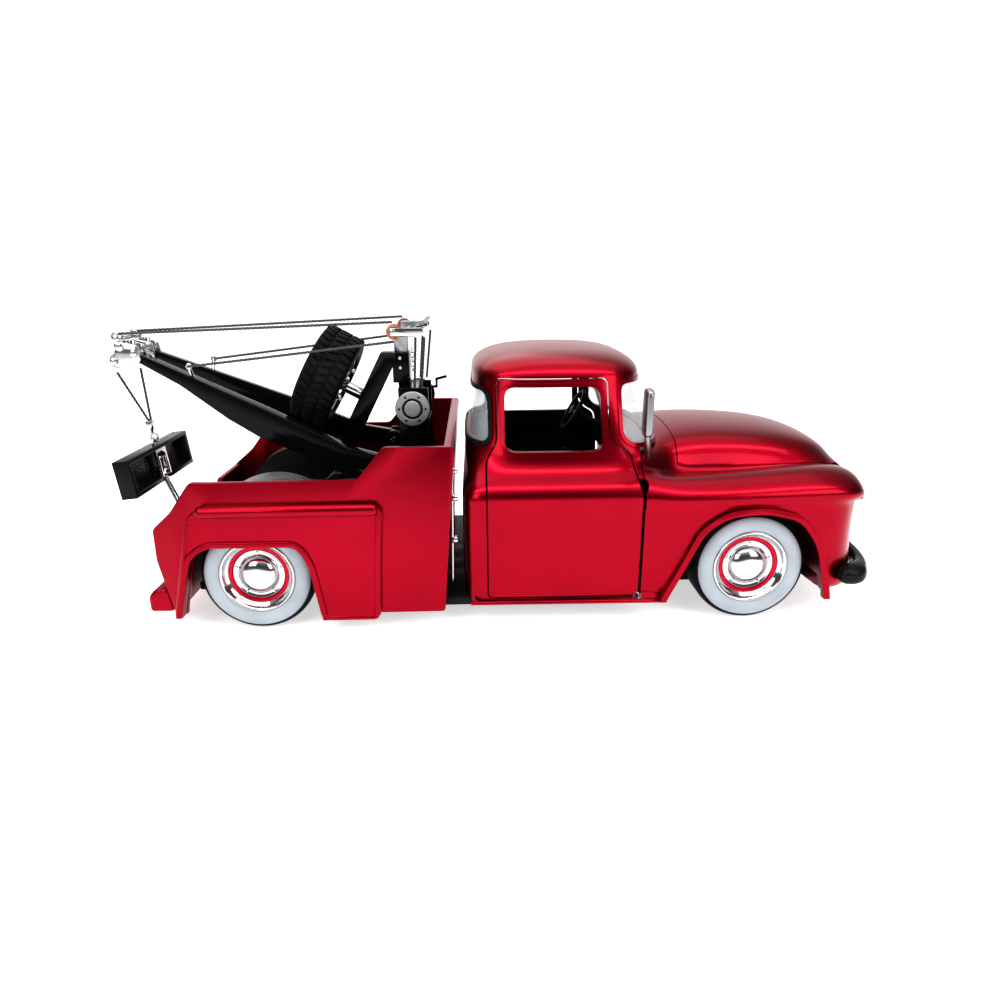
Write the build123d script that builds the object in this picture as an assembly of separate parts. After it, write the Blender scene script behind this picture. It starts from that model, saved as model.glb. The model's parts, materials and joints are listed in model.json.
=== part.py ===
from build123d import *
from math import cos, radians, sin
import os

# Toy tow truck, a 1:24 custom stepside pickup with a twin-boom crane. Millimetres, +Z up, +X forward.
# Every x below is measured from the rear axle. The whole truck is shifted by origin_x when it is written,
# so that the origin lies on the ground under the middle of its box.

# driving dimensions
wheelbase = 120.7
tyre_r = 14.0
axle_z = 14.0
rear_end_x = -41.0
front_end_x = 155.0
origin_x = (rear_end_x + front_end_x) / 2
wall = 1.5
gap = 0.4
fit = 0.06

# body
cab_half = 36.9
sill_z = 5.2
belt_z = 42.0
roof_z = 65.6
door_front_x = 93.1
door_rear_x = 56.2
door_bottom_z = 7.2
door_pin_x, door_pin_y, door_pin_r = 92.4, 35.6, 0.4
hood_rear_x = 103.6
hood_half = 23.6
hood_edge_z = 35.4
hood_pin_x, hood_pin_z, hood_pin_r = 104.5, 44.7, 0.45
bed_half = 37.0
bed_front_x = 48.5
deck_z = 20.0

grille_half, grille_z0, grille_z1 = 18.6, 14.4, 30.6
lamp_y, lamp_z, lamp_r = 29.2, 29.6, 4.3
axle_r = 1.5
wheel_x, wheel_y, wheel_z, wheel_tilt = 83.0, 17.0, 44.4, 30
base_screw_x, base_screw_r = (40.0, 92.0), 1.25
case_screws = [(20, -14), (20, 14), (110, -15), (110, 15)]

# crane
boom_width = 3.2
leg_lean = 61.5
mast_top = (31.4, 63.6)
boom_pivot = (29.5, 37.0)
boom_tip_x = -33.0
boom_tip_y = 4.7
boom_foot_y = 17.0
boom_pin_r = 1.1
spare_centre = (14.0, 57.2)
spare_r = 13.2
spare_width = 10.6
head_x, head_y, head_z = 34.0, 14.2, 69.6
winch_x, winch_y, winch_z = 37.6, 13.0, 50.4
hang_x, hang_z = -38.5, 59.8
tail_pin_x, tail_pin_z = -29.8, 19.6
plate_pin_x, plate_pin_z = -33.9, 31.0
rope_r = 0.35
tip_sheave_x, tip_sheave_z = -38.8, 62.6
hook_x, hook_z = -35.2, 43.6
tub_gap = 0.1
plate_tilt = -6
tub_x, tub_r, tub_inner_y = 2.0, 18.0, 15.5


def prism(points, y0, y1, radius=0):
    """Outline in the X-Z plane, from y0 to y1."""
    plane = Plane((0, y1, 0), x_dir=(1, 0, 0), z_dir=(0, -1, 0))
    return extrude(plane * outline(points, radius), amount=y1 - y0)


def crosswise(points, x0, x1, radius=0):
    """Outline in the Y-Z plane, from x0 to x1."""
    plane = Plane((x0, 0, 0), x_dir=(0, 1, 0), z_dir=(1, 0, 0))
    return extrude(plane * outline(points, radius), amount=x1 - x0)


def flat(points, z0, z1, radius=0):
    """Outline in the X-Y plane, from z0 to z1."""
    return extrude(Plane((0, 0, z0)) * outline(points, radius), amount=z1 - z0)


def outline(points, radius=0):
    if radius:
        return make_face(FilletPolyline(*points, radius=radius, close=True))
    return make_face(Polyline(*points, close=True))


def mirrored(points):
    """Closes half an outline given at positive first coordinate by its mirror image."""
    return points + [(-u, v) for u, v in reversed(points)]


def both(shape):
    """A shape and its mirror image across the centre plane."""
    return [shape, mirror(shape, about=Plane.XZ)]


def block(x0, x1, y0, y1, z0, z1):
    return Pos((x0 + x1) / 2, (y0 + y1) / 2, (z0 + z1) / 2) * Box(x1 - x0, y1 - y0, z1 - z0)


def rod(start, end, radius):
    """Round bar between two points."""
    start, end = Vector(*start), Vector(*end)
    length = (end - start).length
    return extrude(Plane(start, z_dir=end - start) * Circle(radius), amount=length)


def across(x, z, radius, y0, y1):
    return rod((x, y0, z), (x, y1, z), radius)


def beam(start, end, depth, width):
    """Square bar between two points of the X-Z plane, centred on y = 0."""
    start, end = Vector(start[0], 0, start[1]), Vector(end[0], 0, end[1])
    plane = Plane(start, x_dir=(0, 1, 0), z_dir=end - start)
    return extrude(plane * Rectangle(width, depth), amount=(end - start).length)


def turned(points, x, z, side):
    """Solid of revolution about a crosswise axis: points are (radius, distance from the centre plane)."""
    plane = Plane((x, 0, z), x_dir=(1, 0, 0), z_dir=(0, 0, 1))
    solid = revolve(plane * outline([(r, side * y) for r, y in points]), Axis((x, 0, z), (0, 1, 0)))
    return solid


parts = {}


def keep(name, *shapes):
    """Stores a node: one solid or a group of separate solids."""
    solids = [solid for shape in shapes for solid in shape.solids()]
    parts[name] = Compound(children=solids) if len(solids) > 1 else solids[0]


# body outlines, X-Z

cab_side = [(50.2, sill_z), (50.2, 33), (50.6, 41), (52.4, 54), (54.2, 61.2), (57.8, 64.1), (67, 65.4),
            (78, roof_z), (88, 64.7), (92.4, 62.6), (94.8, 58.8), (100.2, 42.4), (100.2, sill_z)]
door_side = [(door_rear_x, door_bottom_z), (door_rear_x, 40.2), (58.8, 44.5), (58.8, 59.0), (85.0, 59.0),
             (85.7, 46.0), (87.6, 43.4), (90.6, 41.8), (door_front_x, 32.5), (door_front_x, door_bottom_z)]
window_side = [(60.7, 42.4), (60.7, 57.3), (83.4, 57.3), (84.2, 42.4)]
windscreen_side = [(88.0, 58.4), (97, 58.4), (103, 43.8), (92.2, 43.8)]
rear_window_side = [(48, 44.2), (57.0, 44.2), (57.0, 56.6), (48, 56.6)]
fender_side = [(93.6, sill_z), (99.4, 5.6), (143.4, 6.6), (144.6, 15.5), (146.4, 22.4), (148.0, 27.6), (148.9, 31.6),
               (147.8, 34.8), (144.4, 37.2), (138.5, 38.7), (131, 38.5), (118, 37.4), (104, 37.6), (93.6, 41.8)]
arch_side = [(99.4, 0), (99.4, 5.8), (105.0, 17.2), (108.2, 24.6), (113.7, 28.0), (122.2, 28.7), (130.7, 26.7),
             (135.2, 20.4), (138.8, 6.8), (138.8, 0)]
nose_side = [(130, 7.5), (146.5, 7.5), (150.6, 15), (151.6, 24), (152.0, 31), (151.0, 36), (147.5, 38.2), (130, 38.2)]
hood_side = [(hood_rear_x, 34.0), (hood_rear_x, 45.4), (109, 46.0), (118, 45.9), (130, 45.1), (139, 43.3),
             (145.2, 40.4), (149.4, 36.4), (150.2, 34.0)]
cowl_side = [(93.6, 34.0), (93.6, 42.2), (97.5, 42.4), (98.8, 43.6), (hood_rear_x - gap, 45.3), (hood_rear_x - gap, 34.0)]
bed_side = [(-21.4, 4.3), (-24.2, 18), (-24.0, 26.0), (-18.8, 30.4), (-13.1, 37.8), (25.9, 38.1), (32.3, 45.6),
            (bed_front_x, 45.5), (45.4, 4.3)]
flare_side = [(-20.0, 4.6), (-13.6, 30.6), (-10.5, 32.6), (29.8, 32.6), (31.5, 31.0), (29.3, 3.4), (15.6, 3.4),
              (13.2, 18.2), (10.8, 22.5), (-10.3, 22.6), (-14.2, 20.0), (-18.4, 4.6)]
bed_arch_side = [(-18.4, 0), (-18.4, 4.6), (-14.2, 20.0), (-10.3, 22.6), (10.8, 22.5), (13.2, 18.2), (15.6, 3.2), (15.6, 0)]

# body sections, Y-Z

cab_section = mirrored([(35.6, sill_z), (36.5, 9), (36.5, 29.6), (cab_half, 32.6), (36.2, 35.6), (33.6, 38.6), (31.0, 40.6),
                        (30.1, belt_z), (27.2, 57.5), (25.2, 61.6), (20.5, 64.2), (11, roof_z)])
fender_section = mirrored([(37.2, sill_z), (38.0, 9), (38.0, 29.6), (37.6, 32.8), (35.6, 35.6), (32, 37.6), (28, 38.8)])
hood_section = mirrored([(hood_half, 34.0), (hood_half, 35.6), (22.6, 39.4), (20.4, 42.2), (15.2, 44.3), (7, 45.8), (2, 46.0)])
bonnet_gap_section = mirrored([(hood_half + gap, hood_edge_z), (hood_half + gap, 60)])

# body plans, X-Y

nose_plan = [(90, -38.5), (139.5, -38.5), (144.6, -37.2), (148.0, -33.6), (149.6, -28.5), (151.2, -20), (152.0, -8),
             (152.0, 8), (151.2, 20), (149.6, 28.5), (148.0, 33.6), (144.6, 37.2), (139.5, 38.5), (90, 38.5)]
hood_plan = [(90, -30), (136, -30), (146.0, -20.5), (149.2, -12), (150.2, -4), (150.2, 4), (149.2, 12), (146.0, 20.5),
             (136, 30), (90, 30)]
cab_plan = [(57.4, -40), (86.0, -40), (91.6, -31.2), (96.2, -24.4), (99.2, -14.5), (100.2, -5), (100.2, 5), (99.2, 14.5),
            (96.2, 24.4), (91.6, 31.2), (86.0, 40), (57.4, 40), (53.8, 28.6), (51.2, 22.5), (50.2, 14), (50.2, -14),
            (51.2, -22.5), (53.8, -28.6)]


def grown(points, amount):
    """Outline moved outwards, or inwards if the amount is negative."""
    return offset(outline(points), amount=amount, kind=Kind.INTERSECTION)


def side_solid(points, amount, half):
    plane = Plane((0, half, 0), x_dir=(1, 0, 0), z_dir=(0, -1, 0))
    return extrude(plane * grown(points, amount), amount=2 * half)


def section_solid(points, amount, x0, x1):
    plane = Plane((x0, 0, 0), x_dir=(0, 1, 0), z_dir=(1, 0, 0))
    return extrude(plane * grown(points, amount), amount=x1 - x0)


def plan_solid(points, amount, z0, z1):
    return extrude(Plane((0, 0, z0)) * grown(points, amount), amount=z1 - z0)


def cab_solid(amount):
    """Cab inside its three outlines, each moved by amount; the greenhouse alone has curved corners in plan."""
    lower = side_solid(cab_side, amount, 45) & section_solid(cab_section, amount, 45, 105)
    upper = lower & plan_solid(cab_plan, amount, belt_z, 80)
    return (lower & block(45, 105, -45, 45, 0, belt_z)) + upper


def door_cut(amount, y0=18, y1=45):
    plane = Plane((0, y1, 0), x_dir=(1, 0, 0), z_dir=(0, -1, 0))
    return extrude(plane * grown(door_side, amount), amount=y1 - y0)


def build_cab():
    outer = cab_solid(0)
    inner = cab_solid(-wall) + block(45, 98, -34.4, 34.4, 0, sill_z + 1.8)
    shell = outer - inner
    front = block(door_front_x + gap + 0.1, 110, -50, 50, -1, 42.4)
    shell = shell - front - prism(windscreen_side, -50, 50) - prism(rear_window_side, -50, 50)
    swing_room = both(rod((door_pin_x, door_pin_y, 31.2), (door_pin_x, door_pin_y, 40), 2.3))
    swing_room += both(block(door_front_x + gap - 0.1, door_front_x + gap + 0.2, 33.6, 45, 6.8, 31.4))
    for cut in both(door_cut(gap)) + door_pins(0) + swing_room:
        shell = shell - cut
    return max(shell.solids(), key=lambda solid: solid.volume)


def door_pins(clearance):
    return both(rod((door_pin_x, door_pin_y, sill_z + 0.3), (door_pin_x, door_pin_y, 31), door_pin_r + clearance))


def door_side_panel():
    """Right-hand door: the cab wall inside the door outline, with its window opening and pin hole."""
    skin = (cab_solid(0) - cab_solid(-wall)) & mirror(door_cut(0), about=Plane.XZ)
    skin = skin - prism(window_side, -45, -18, radius=2.2)
    knuckle = block(door_pin_x - 0.9, door_pin_x + 0.7, -door_pin_y - 0.2, -door_pin_y + 0.9, 8, 29)
    skin = skin + knuckle
    corner = flat([(92.5, -38.5), (93.3, -38.5), (93.3, -35.9)], 0, 40)
    skin = skin - corner
    return skin - rod((door_pin_x, -door_pin_y, 0), (door_pin_x, -door_pin_y, 31.4), door_pin_r + fit)


def build_front_clip():
    """Fenders, nose and cowl in one casting, with the engine bay and the wheel arches open."""
    fenders = side_solid(fender_side, 0, 45) & section_solid(fender_section, 0, 93.6, 160) & plan_solid(nose_plan, 0, 0, 60)
    nose = prism(nose_side, -24, 24) & plan_solid(nose_plan, 0, 0, 60)
    cowl = prism(cowl_side, -45, 45) & section_solid(cab_section, 0, 93.6, 110)
    hollow = side_solid(fender_side, -wall, 45) & section_solid(fender_section, -wall, 90, 160)
    hollow = (hollow & plan_solid(nose_plan, -wall, 0, 60)) + block(92, 97.6, -36.2, 36.2, 0, 34)
    under = block(91, 140, -36.2, 36.2, 0, 12)
    cowl_hollow = prism([(92, 30), (92, 40.7), (98, 41.2), (hood_rear_x - gap + 1, 43.6), (hood_rear_x + 2, 30)], -29, 29)
    bay = block(99.0, 147.6, -22.0, 22.0, 0, 60)
    firewall = block(97.6, 99.0, -35.5, 35.5, 8, 42.2) & (fenders + cowl)
    clip = fenders + nose + cowl - hollow - under - cowl_hollow - bay + firewall
    clip = clip + hinge_cradle(1.0)
    clip = clip - (crosswise(bonnet_gap_section, hood_rear_x - gap, 160) & plan_solid(hood_plan, gap, 0, 80)
                   & (plan_solid(hood_plan, gap, 0, 80) - hinge_cradle(1.0)))
    clip = clip - prism(arch_side, -45, -23.2) - prism(arch_side, 23.2, 45)
    clip = clip - block(91, door_front_x + gap + 0.1, -50, 50, 0, 60) - (cab_solid(0) & block(80, 110, -50, 50, 42.4, 70))
    clip = clip - block(90, 150, -22, 22, 0, 7.4)
    clip = clip - across(hood_pin_x, hood_pin_z, hood_pin_r + fit, -9, 9)
    clip = clip - block(146.0, 156, -grille_half, grille_half, grille_z0, grille_z1)
    for side in (-1, 1):
        clip = clip - rod((142.5, side * lamp_y, lamp_z), (156, side * lamp_y, lamp_z), lamp_r)
        clip = clip - rod((142.5, side * lamp_y, 20.2), (156, side * lamp_y, 20.2), 1.7)
    return clip


def hinge_cradle(clearance_side):
    """Two open bearings under the cowl lip that the hood hinge pin turns in."""
    arms = [block(98.6, 105.4, y - clearance_side, y + clearance_side, 42.7, hood_pin_z) for y in (-6.2, 6.2)]
    return arms[0] + arms[1]


def hood_solid(amount):
    return side_solid(hood_side, amount, 45) & section_solid(hood_section, amount, 100, 155) & plan_solid(hood_plan, amount, 0, 60)


def build_hood():
    skin = hood_solid(0) - hood_solid(-1.3) - block(hood_rear_x + 1.3, 151, -22.2, 22.2, 30, 37.2)
    skin = skin - block(90, 160, -40, 40, 30, hood_edge_z + 0.4)
    for y in (-6.2, 6.2):
        skin = skin - block(103, 106.2, y - 1.35, y + 1.35, 42.2, hood_pin_z + 0.25)
        skin = skin - block(103, hood_pin_x + 0.3, y - 1.35, y + 1.35, 42.2, 50)
    hinge = hood_pin()
    for y in (-3.4, 3.4):
        hinge = hinge + block(hood_pin_x - 0.4, hood_rear_x + 2.4, y - 1.2, y + 1.2, hood_pin_z - 0.4, hood_pin_z + 0.4)
    skin = skin + hinge
    return max(skin.solids(), key=lambda solid: solid.volume)


def hood_pin():
    return across(hood_pin_x, hood_pin_z, hood_pin_r, -7.8, 7.8)


def glass(region, shrink=0.02):
    """Pane 0.8 thick, set just inside the cab skin within a side-view outline."""
    return (cab_solid(-0.15) - cab_solid(-0.95)) & side_solid(region, -shrink, 50)


# wheels and axles

hub_y = 33.0


def wheel_set(x, label):
    """One axle with its two wheels: every piece here turns together."""
    tyre = [(9.0, 25.4), (11.6, 24.9), (13.4, 25.3), (tyre_r, 26.4), (tyre_r, 34.4), (13.4, 35.5), (12.7, 35.7),
            (12.7, 35.0), (9.0, 35.0)]
    disc = [(0, 32.6), (0, 33.8), (4.9, 33.8), (7.2, 34.5), (7.2, 33.2), (8.2, 33.2), (9.0, 32.6), (9.0, 25.6), (8.0, 25.6),
            (7.0, 31.6), (2.4, 31.6), (2.4, 29.0), (0, 29.0)]
    whitewall = [(9.0, 35.0), (12.7, 35.0), (12.7, 36.0), (12.2, 36.4), (9.6, 36.4), (9.0, 36.1)]
    trim_ring = [(7.2, 33.2), (8.2, 33.2), (9.0, 33.8), (9.0, 36.1), (8.6, 36.1), (7.2, 34.5)]
    hub_cap = [(0, 33.8), (4.9, 33.8), (4.6, 34.5), (3.6, 35.4), (1.8, 36.0), (0, 36.2)]
    keep(f"{label}_tyres", *[turned(tyre, x, axle_z, side) for side in (-1, 1)])
    shaft = across(x, axle_z, axle_r, -hub_y, hub_y)
    keep(f"{label}_wheels", *[turned(disc, x, axle_z, side) - shaft for side in (-1, 1)])
    keep(f"{label}_whitewalls", *[turned(whitewall, x, axle_z, side) for side in (-1, 1)])
    keep(f"{label}_wheel_trims", *[turned(points, x, axle_z, side) for points in (trim_ring, hub_cap) for side in (-1, 1)])
    keep(f"{label}_axle", shaft)


# chassis and cab furniture

def build_chassis():
    pan = flat([(-20, -21), (140, -21), (146, -12), (146, 12), (140, 21), (-20, 21)], 4.6, 6.6)
    pan = pan + block(24, 92, -34.0, 34.0, 4.6, 6.6)
    pan = pan + block(141, 152.6, -15.2, -12.8, 4.6, 6.9) + block(141, 152.6, 12.8, 15.2, 4.6, 6.9)
    pan = pan + block(150.8, 152.6, -15.2, -12.8, 4.6, 12) + block(150.8, 152.6, 12.8, 15.2, 4.6, 12)
    for x in (0, wheelbase):
        for side in (-1, 1):
            y0, y1 = sorted((side * 16, side * 20.5))
            pan = pan + block(x - 4, x + 4, y0, y1, 6.6, 17.0)
    for side in (-1, 1):
        y0, y1 = sorted((side * 8, side * 11))
        pan = pan + block(-18, 43, y0, y1, 6.6, 17.0)
    for x in (0, wheelbase):
        pan = pan - across(x, axle_z, axle_r + fit, -23, 23)
    for x in base_screw_x:
        pan = pan + rod((x, 0, 6.6), (x, 0, 12.2), 2.9) - rod((x, 0, 4.6), (x, 0, 10.6), base_screw_r)
    for x, y in case_screws:
        pan = pan - case_screw(x, y)
    return pan


def case_screw(x, y):
    """Countersunk screw, head flush with the underside."""
    head = extrude(Plane((x, y, 4.6)) * Circle(1.9), amount=0.9)
    return head + rod((x, y, 5.4), (x, y, 6.6), 1.0)


def build_interior():
    seat = [(56.4, 8.2), (74.5, 8.2), (75.5, 21.5), (73.5, 23.4), (62.5, 22.0), (60.4, 24.0), (57.2, 42.5), (54.2, 42.0), (54.6, 24)]
    floor = block(52.2, 97.2, -33.6, 33.6, 6.8, 8.2) - rod((base_screw_x[1], 0, 6), (base_screw_x[1], 0, 10), 3.4)
    keep("cabin_floor", floor)
    keep("bench_seat", prism(seat, -26.5, 26.5))
    dash = [(91.5, 33.0), (90.6, 36.5), (91.6, 39.8), (97.0, 40.4), (97.4, 33.0)]
    keep("dashboard", prism(dash, -27.8, 27.8))
    hub, tilt = Vector(wheel_x, wheel_y, wheel_z), Vector(-cos(radians(wheel_tilt)), 0, sin(radians(wheel_tilt)))
    rim_plane = Plane(hub - tilt * 0.5, x_dir=(0, 1, 0), z_dir=tilt)
    rim = extrude(rim_plane * Circle(6.7), amount=1.0) - extrude(rim_plane * Circle(5.7), amount=1.0)
    spokes = extrude(rim_plane.offset(0.2) * Rectangle(12, 1.0), amount=0.6) & extrude(rim_plane * Circle(6.0), amount=1.0)
    column = rod(tuple(hub - tilt * 0.4), tuple(hub - tilt * 9.8), 0.9) - prism(dash, -27.8, 27.8)
    keep("steering_wheel", rim + spokes + extrude(rim_plane.offset(-0.1) * Circle(1.5), amount=1.2) + column)
    keep("gear_lever", rod((80.0, 0, 8.2), (78.8, 0, 35.4), 0.5) + Pos(78.75, 0, 35.6) * Sphere(1.2))


# crane

def sheave(x, z, radius, bore, y, width):
    """Grooved pulley on a crosswise pin."""
    half = width / 2
    points = [(bore, -half), (radius, -half), (radius - 0.55, 0), (radius, half), (bore, half)]
    plane = Plane((x, y, z), x_dir=(1, 0, 0), z_dir=(0, 0, 1))
    return revolve(plane * outline(points), Axis((x, y, z), (0, 1, 0)))


def boom(side):
    """Fish-belly box boom, splayed from its foot out at the side to the tip near the centre plane."""
    foot = Vector(boom_pivot[0], side * boom_foot_y, 0)
    run = Vector(boom_tip_x, side * boom_tip_y, 0) - foot
    along = run.normalized()
    stretch = run.length / (boom_pivot[0] - boom_tip_x)
    shape = [(31.6, 38.8), (21, 41.2), (9.7, 46.5), (0, 50.8), (-33, 64.6), (-33, 62.4), (-22, 56.5), (-10, 48.0), (-2, 43.4),
             (6.4, 40.2), (18, 37.2), (27.5, 34.9), (31.6, 35.2)]
    points = [((boom_pivot[0] - x) * stretch, z) for x, z in shape]
    plane = Plane(foot, x_dir=along, z_dir=along.cross(Vector(0, 0, 1)))
    body = extrude(plane * outline(points), amount=boom_width / 2, both=True)
    return body - across(boom_pivot[0], boom_pivot[1], boom_pin_r + fit, -30, 30)


def build_crane():
    base = prism([(10, 20), (10.6, 29), (15.5, 33.2), (44.5, 33.2), (44.5, 20)], -11.4, 11.4)
    ears = [block(25.6, 33.4, y0, y1, 20, 34.6) + across(boom_pivot[0], boom_pivot[1], 2.7, y0, y1)
            + block(26.8, 32.2, y0, y1, 33, 37) for y0, y1 in ((-21.4, -19.8), (-14.4, -12.8), (12.8, 14.4), (19.8, 21.4))]
    foot_plate = block(25.0, 34.0, -21.6, 21.6, 20, 22)
    base = base + foot_plate
    for ear in ears:
        base = base + ear
    base = base - across(boom_pivot[0], boom_pivot[1], boom_pin_r, -30, 30)
    keep("crane_base", base)
    keep("boom_foot_pins", *[across(boom_pivot[0], boom_pivot[1], boom_pin_r, y0, y1) for y0, y1 in ((-22, -12.8), (12.8, 22))])

    leg = mast_leg_solid()
    post = block(32.0, 36.4, -3.6, 3.6, 55.8, mast_top[1])
    stem = block(33.2, 36.4, -2.2, 2.2, 33.2, 55.8)
    keep("mast", leg + post + stem)
    cheeks = [block(33.6, 41.4, y0, y1, 46.6, 55.0) for y0, y1 in ((-8.4, -7.2), (7.2, 8.4))]
    frame = cheeks[0] + cheeks[1] + block(33.6, 41.4, -8.4, 8.4, 44.8, 46.6) + block(36.4, 38.8, -8.4, 8.4, 53.6, 55.0)
    frame = frame + block(33.6, 41.4, -8.4, -6.6, 33.2, 46.6) + block(33.6, 41.4, 6.6, 8.4, 33.2, 46.6)
    frame = frame - across(winch_x, winch_z, 1.0 + fit, -20, 20) - post - stem - leg
    keep("winch_frame", frame)
    for side, word in ((-1, "right"), (1, "left")):
        y0, y1 = sorted((side * 8.6, side * (winch_y + 0.9)))
        drum = across(winch_x, winch_z, 2.6, y0, y1)
        f0, f1 = sorted((side * winch_y, side * (winch_y + 1.0)))
        g0, g1 = sorted((side * 8.6, side * 9.4))
        drum = drum + across(winch_x, winch_z, 4.5, f0, f1) + across(winch_x, winch_z, 3.9, g0, g1)
        s0, s1 = sorted((side * 5.0, side * 8.6))
        drum = drum + across(winch_x, winch_z, 1.0, s0, s1)
        c0, c1 = sorted((side * 5.0, side * 6.4))
        drum = drum + across(winch_x, winch_z, 1.5, c0, c1)
        keep(f"winch_drum_{word}", drum)

    neck = block(32.6, 36.0, -2.4, 2.4, mast_top[1], 68.4)
    bar = across(37.0, head_z, 0.8, -15.2, 15.2)
    yoke = block(34.6, 38.2, -3.0, 3.0, 67.6, 71.4)
    rail = across(41.0, 71.6, 0.55, -head_y + 1.6, head_y - 1.6) + block(37.0, 41.4, -2.2, 2.2, 70.2, 71.4)
    keep("mast_head", neck + yoke + bar + rail)
    blocks = []
    for side in (-1, 1):
        cheeks = across(head_x, head_z, 0.5, *sorted((side * (head_y - 1.7), side * (head_y + 1.7))))
        for y in (head_y - 1.2, head_y + 1.2):
            y0, y1 = sorted((side * (y - 0.3), side * (y + 0.3)))
            cheeks = cheeks + block(head_x - 0.8, 41.2, y0, y1, head_z - 0.9, head_z + 0.9)
        y0, y1 = sorted((side * (head_y - 1.5), side * (head_y + 1.5)))
        cheeks = cheeks + block(39.6, 41.2, y0, y1, head_z - 0.6, head_z + 0.6)
        blocks.append(cheeks - bar)
    keep("head_blocks", *blocks)
    keep("head_sheaves", *[sheave(head_x, head_z, 2.0, 0.5 + fit, side * head_y, 1.3) for side in (-1, 1)])
    keep("boom_right", boom(-1))
    keep("boom_left", boom(1))


def build_boom_tip():
    """Chrome head that ties the two boom tips together and carries the hoist sheaves."""
    cheeks = [block(-39.6, -31.6, y0, y1, 60.6, 67.6) for y0, y1 in ((-7.6, -6.6), (6.6, 7.6))]
    head = cheeks[0] + cheeks[1] + block(rear_end_x, -38.6, -7.6, 7.6, 64.6, 69.0) + block(-36.6, -34.6, -7.6, 7.6, 66.2, 68.4)
    for side in (-1, 1):
        head = head - boom(side)
    keep("boom_tip_head", head + across(tip_sheave_x, tip_sheave_z, 0.6, -8.0, 8.0))
    keep("tip_sheaves", *[sheave(tip_sheave_x, tip_sheave_z, 1.9, 0.6 + fit, side * 4.6, 1.8) for side in (-1, 1)])


def build_ropes():
    near_tip, low, high = [], [], []
    for side in (-1, 1):
        start = (-37.5, side * 5.4, 69.4)
        high.append(rod(start, (head_x - 0.4, side * head_y, head_z + 2.0 + rope_r), rope_r))
        low.append(rod((-19.0, side * 9.6, 61.4), (head_x - 0.2, side * head_y, head_z - 2.0 - rope_r), rope_r))
        near_tip.append(rod((-39.6 if side < 0 else -37.4, side * 4.6, 59.6), (hook_x, side * 0.7, hook_z + 2.5), rope_r))
    keep("topping_ropes", *high, *low)
    keep("hoist_ropes", *near_tip)
    falls = []
    for side in (-1, 1):
        falls.append(rod((41.4, side * head_y, head_z - 1.4), (winch_x + 2.4, side * 11.2, winch_z + 4.9), rope_r))
        falls.append(rod((39.2, side * head_y, head_z - 1.4), (winch_x + 0.6, side * 11.2, winch_z + 4.9), rope_r))
    keep("winch_ropes", *falls)


def build_sling():
    """Snatch block and hook, with the tow plate hung from them by its eye."""
    shackle = block(hook_x - 0.8, hook_x + 0.8, -1.3, 1.3, hook_z, hook_z + 2.4) + rod((hook_x, 0, hook_z - 1.1), (hook_x, 0, hook_z), 0.5)
    bend = Plane((hook_x + 0.3, 0, hook_z - 2.2), x_dir=(1, 0, 0), z_dir=(0, -1, 0))
    curl = extrude(bend * (Circle(1.4) - Circle(0.7)), amount=0.35, both=True)
    keep("tow_hook", shackle + (curl - block(hook_x - 3, hook_x - 0.5, -2, 2, hook_z - 2.2, hook_z - 1.3)))

    place = Pos(plate_pin_x - 1.0, 0, 34.4) * Rot(0, plate_tilt, 0)
    eye = Plane((hook_x + 0.3, 0, hook_z - 3.67), x_dir=(0, 1, 0), z_dir=(1, 0, 0))
    ring_eye = extrude(eye * (Circle(1.5) - Circle(0.95)), amount=0.25, both=True)
    stem = block(hook_x - 0.2, hook_x + 0.8, -0.9, 0.9, 38.0, 38.8)
    bracket = place * (block(-1.2, 1.7, -3.2, 3.2, -3.8, 3.8) - block(-1.3, 2.4, -1.9, 1.9, -4.2, 1.4)) + ring_eye + stem
    keep("plate_bracket", bracket)
    tray = block(-2.4, 1.6, -20, 20, -4.9, 4.9) - block(-1.2, 2.0, -18.6, 18.6, -3.8, 3.8) - block(-1.2, 2.0, -2.4, 2.4, -6, -3)
    keep("tow_plate", place * tray - bracket)


def build_tow_bar():
    start, end = Vector(tail_pin_x, 0, tail_pin_z), Vector(plate_pin_x, 0, plate_pin_z)
    along = (end - start).normalized()
    bar = rod(tuple(start), tuple(end - along * 0.6), 0.9) + across(tail_pin_x, tail_pin_z, 1.4, -1.3, 1.3)
    keep("tow_bar", bar - across(tail_pin_x, tail_pin_z, 0.6 + fit, -5, 5))
    ears = block(-31.0, -24.4, -3.0, -1.6, 18.0, 21.0) + block(-31.0, -24.4, 1.6, 3.0, 18.0, 21.0)
    ears = ears + block(-25.6, -24.4, -5, 5, 16.6, 22.2) - across(tail_pin_x, tail_pin_z, 0.6, -9, 9)
    keep("tow_bar_bracket", ears - bed_outer() + across(tail_pin_x, tail_pin_z, 0.6, -3.5, 3.5))


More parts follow.
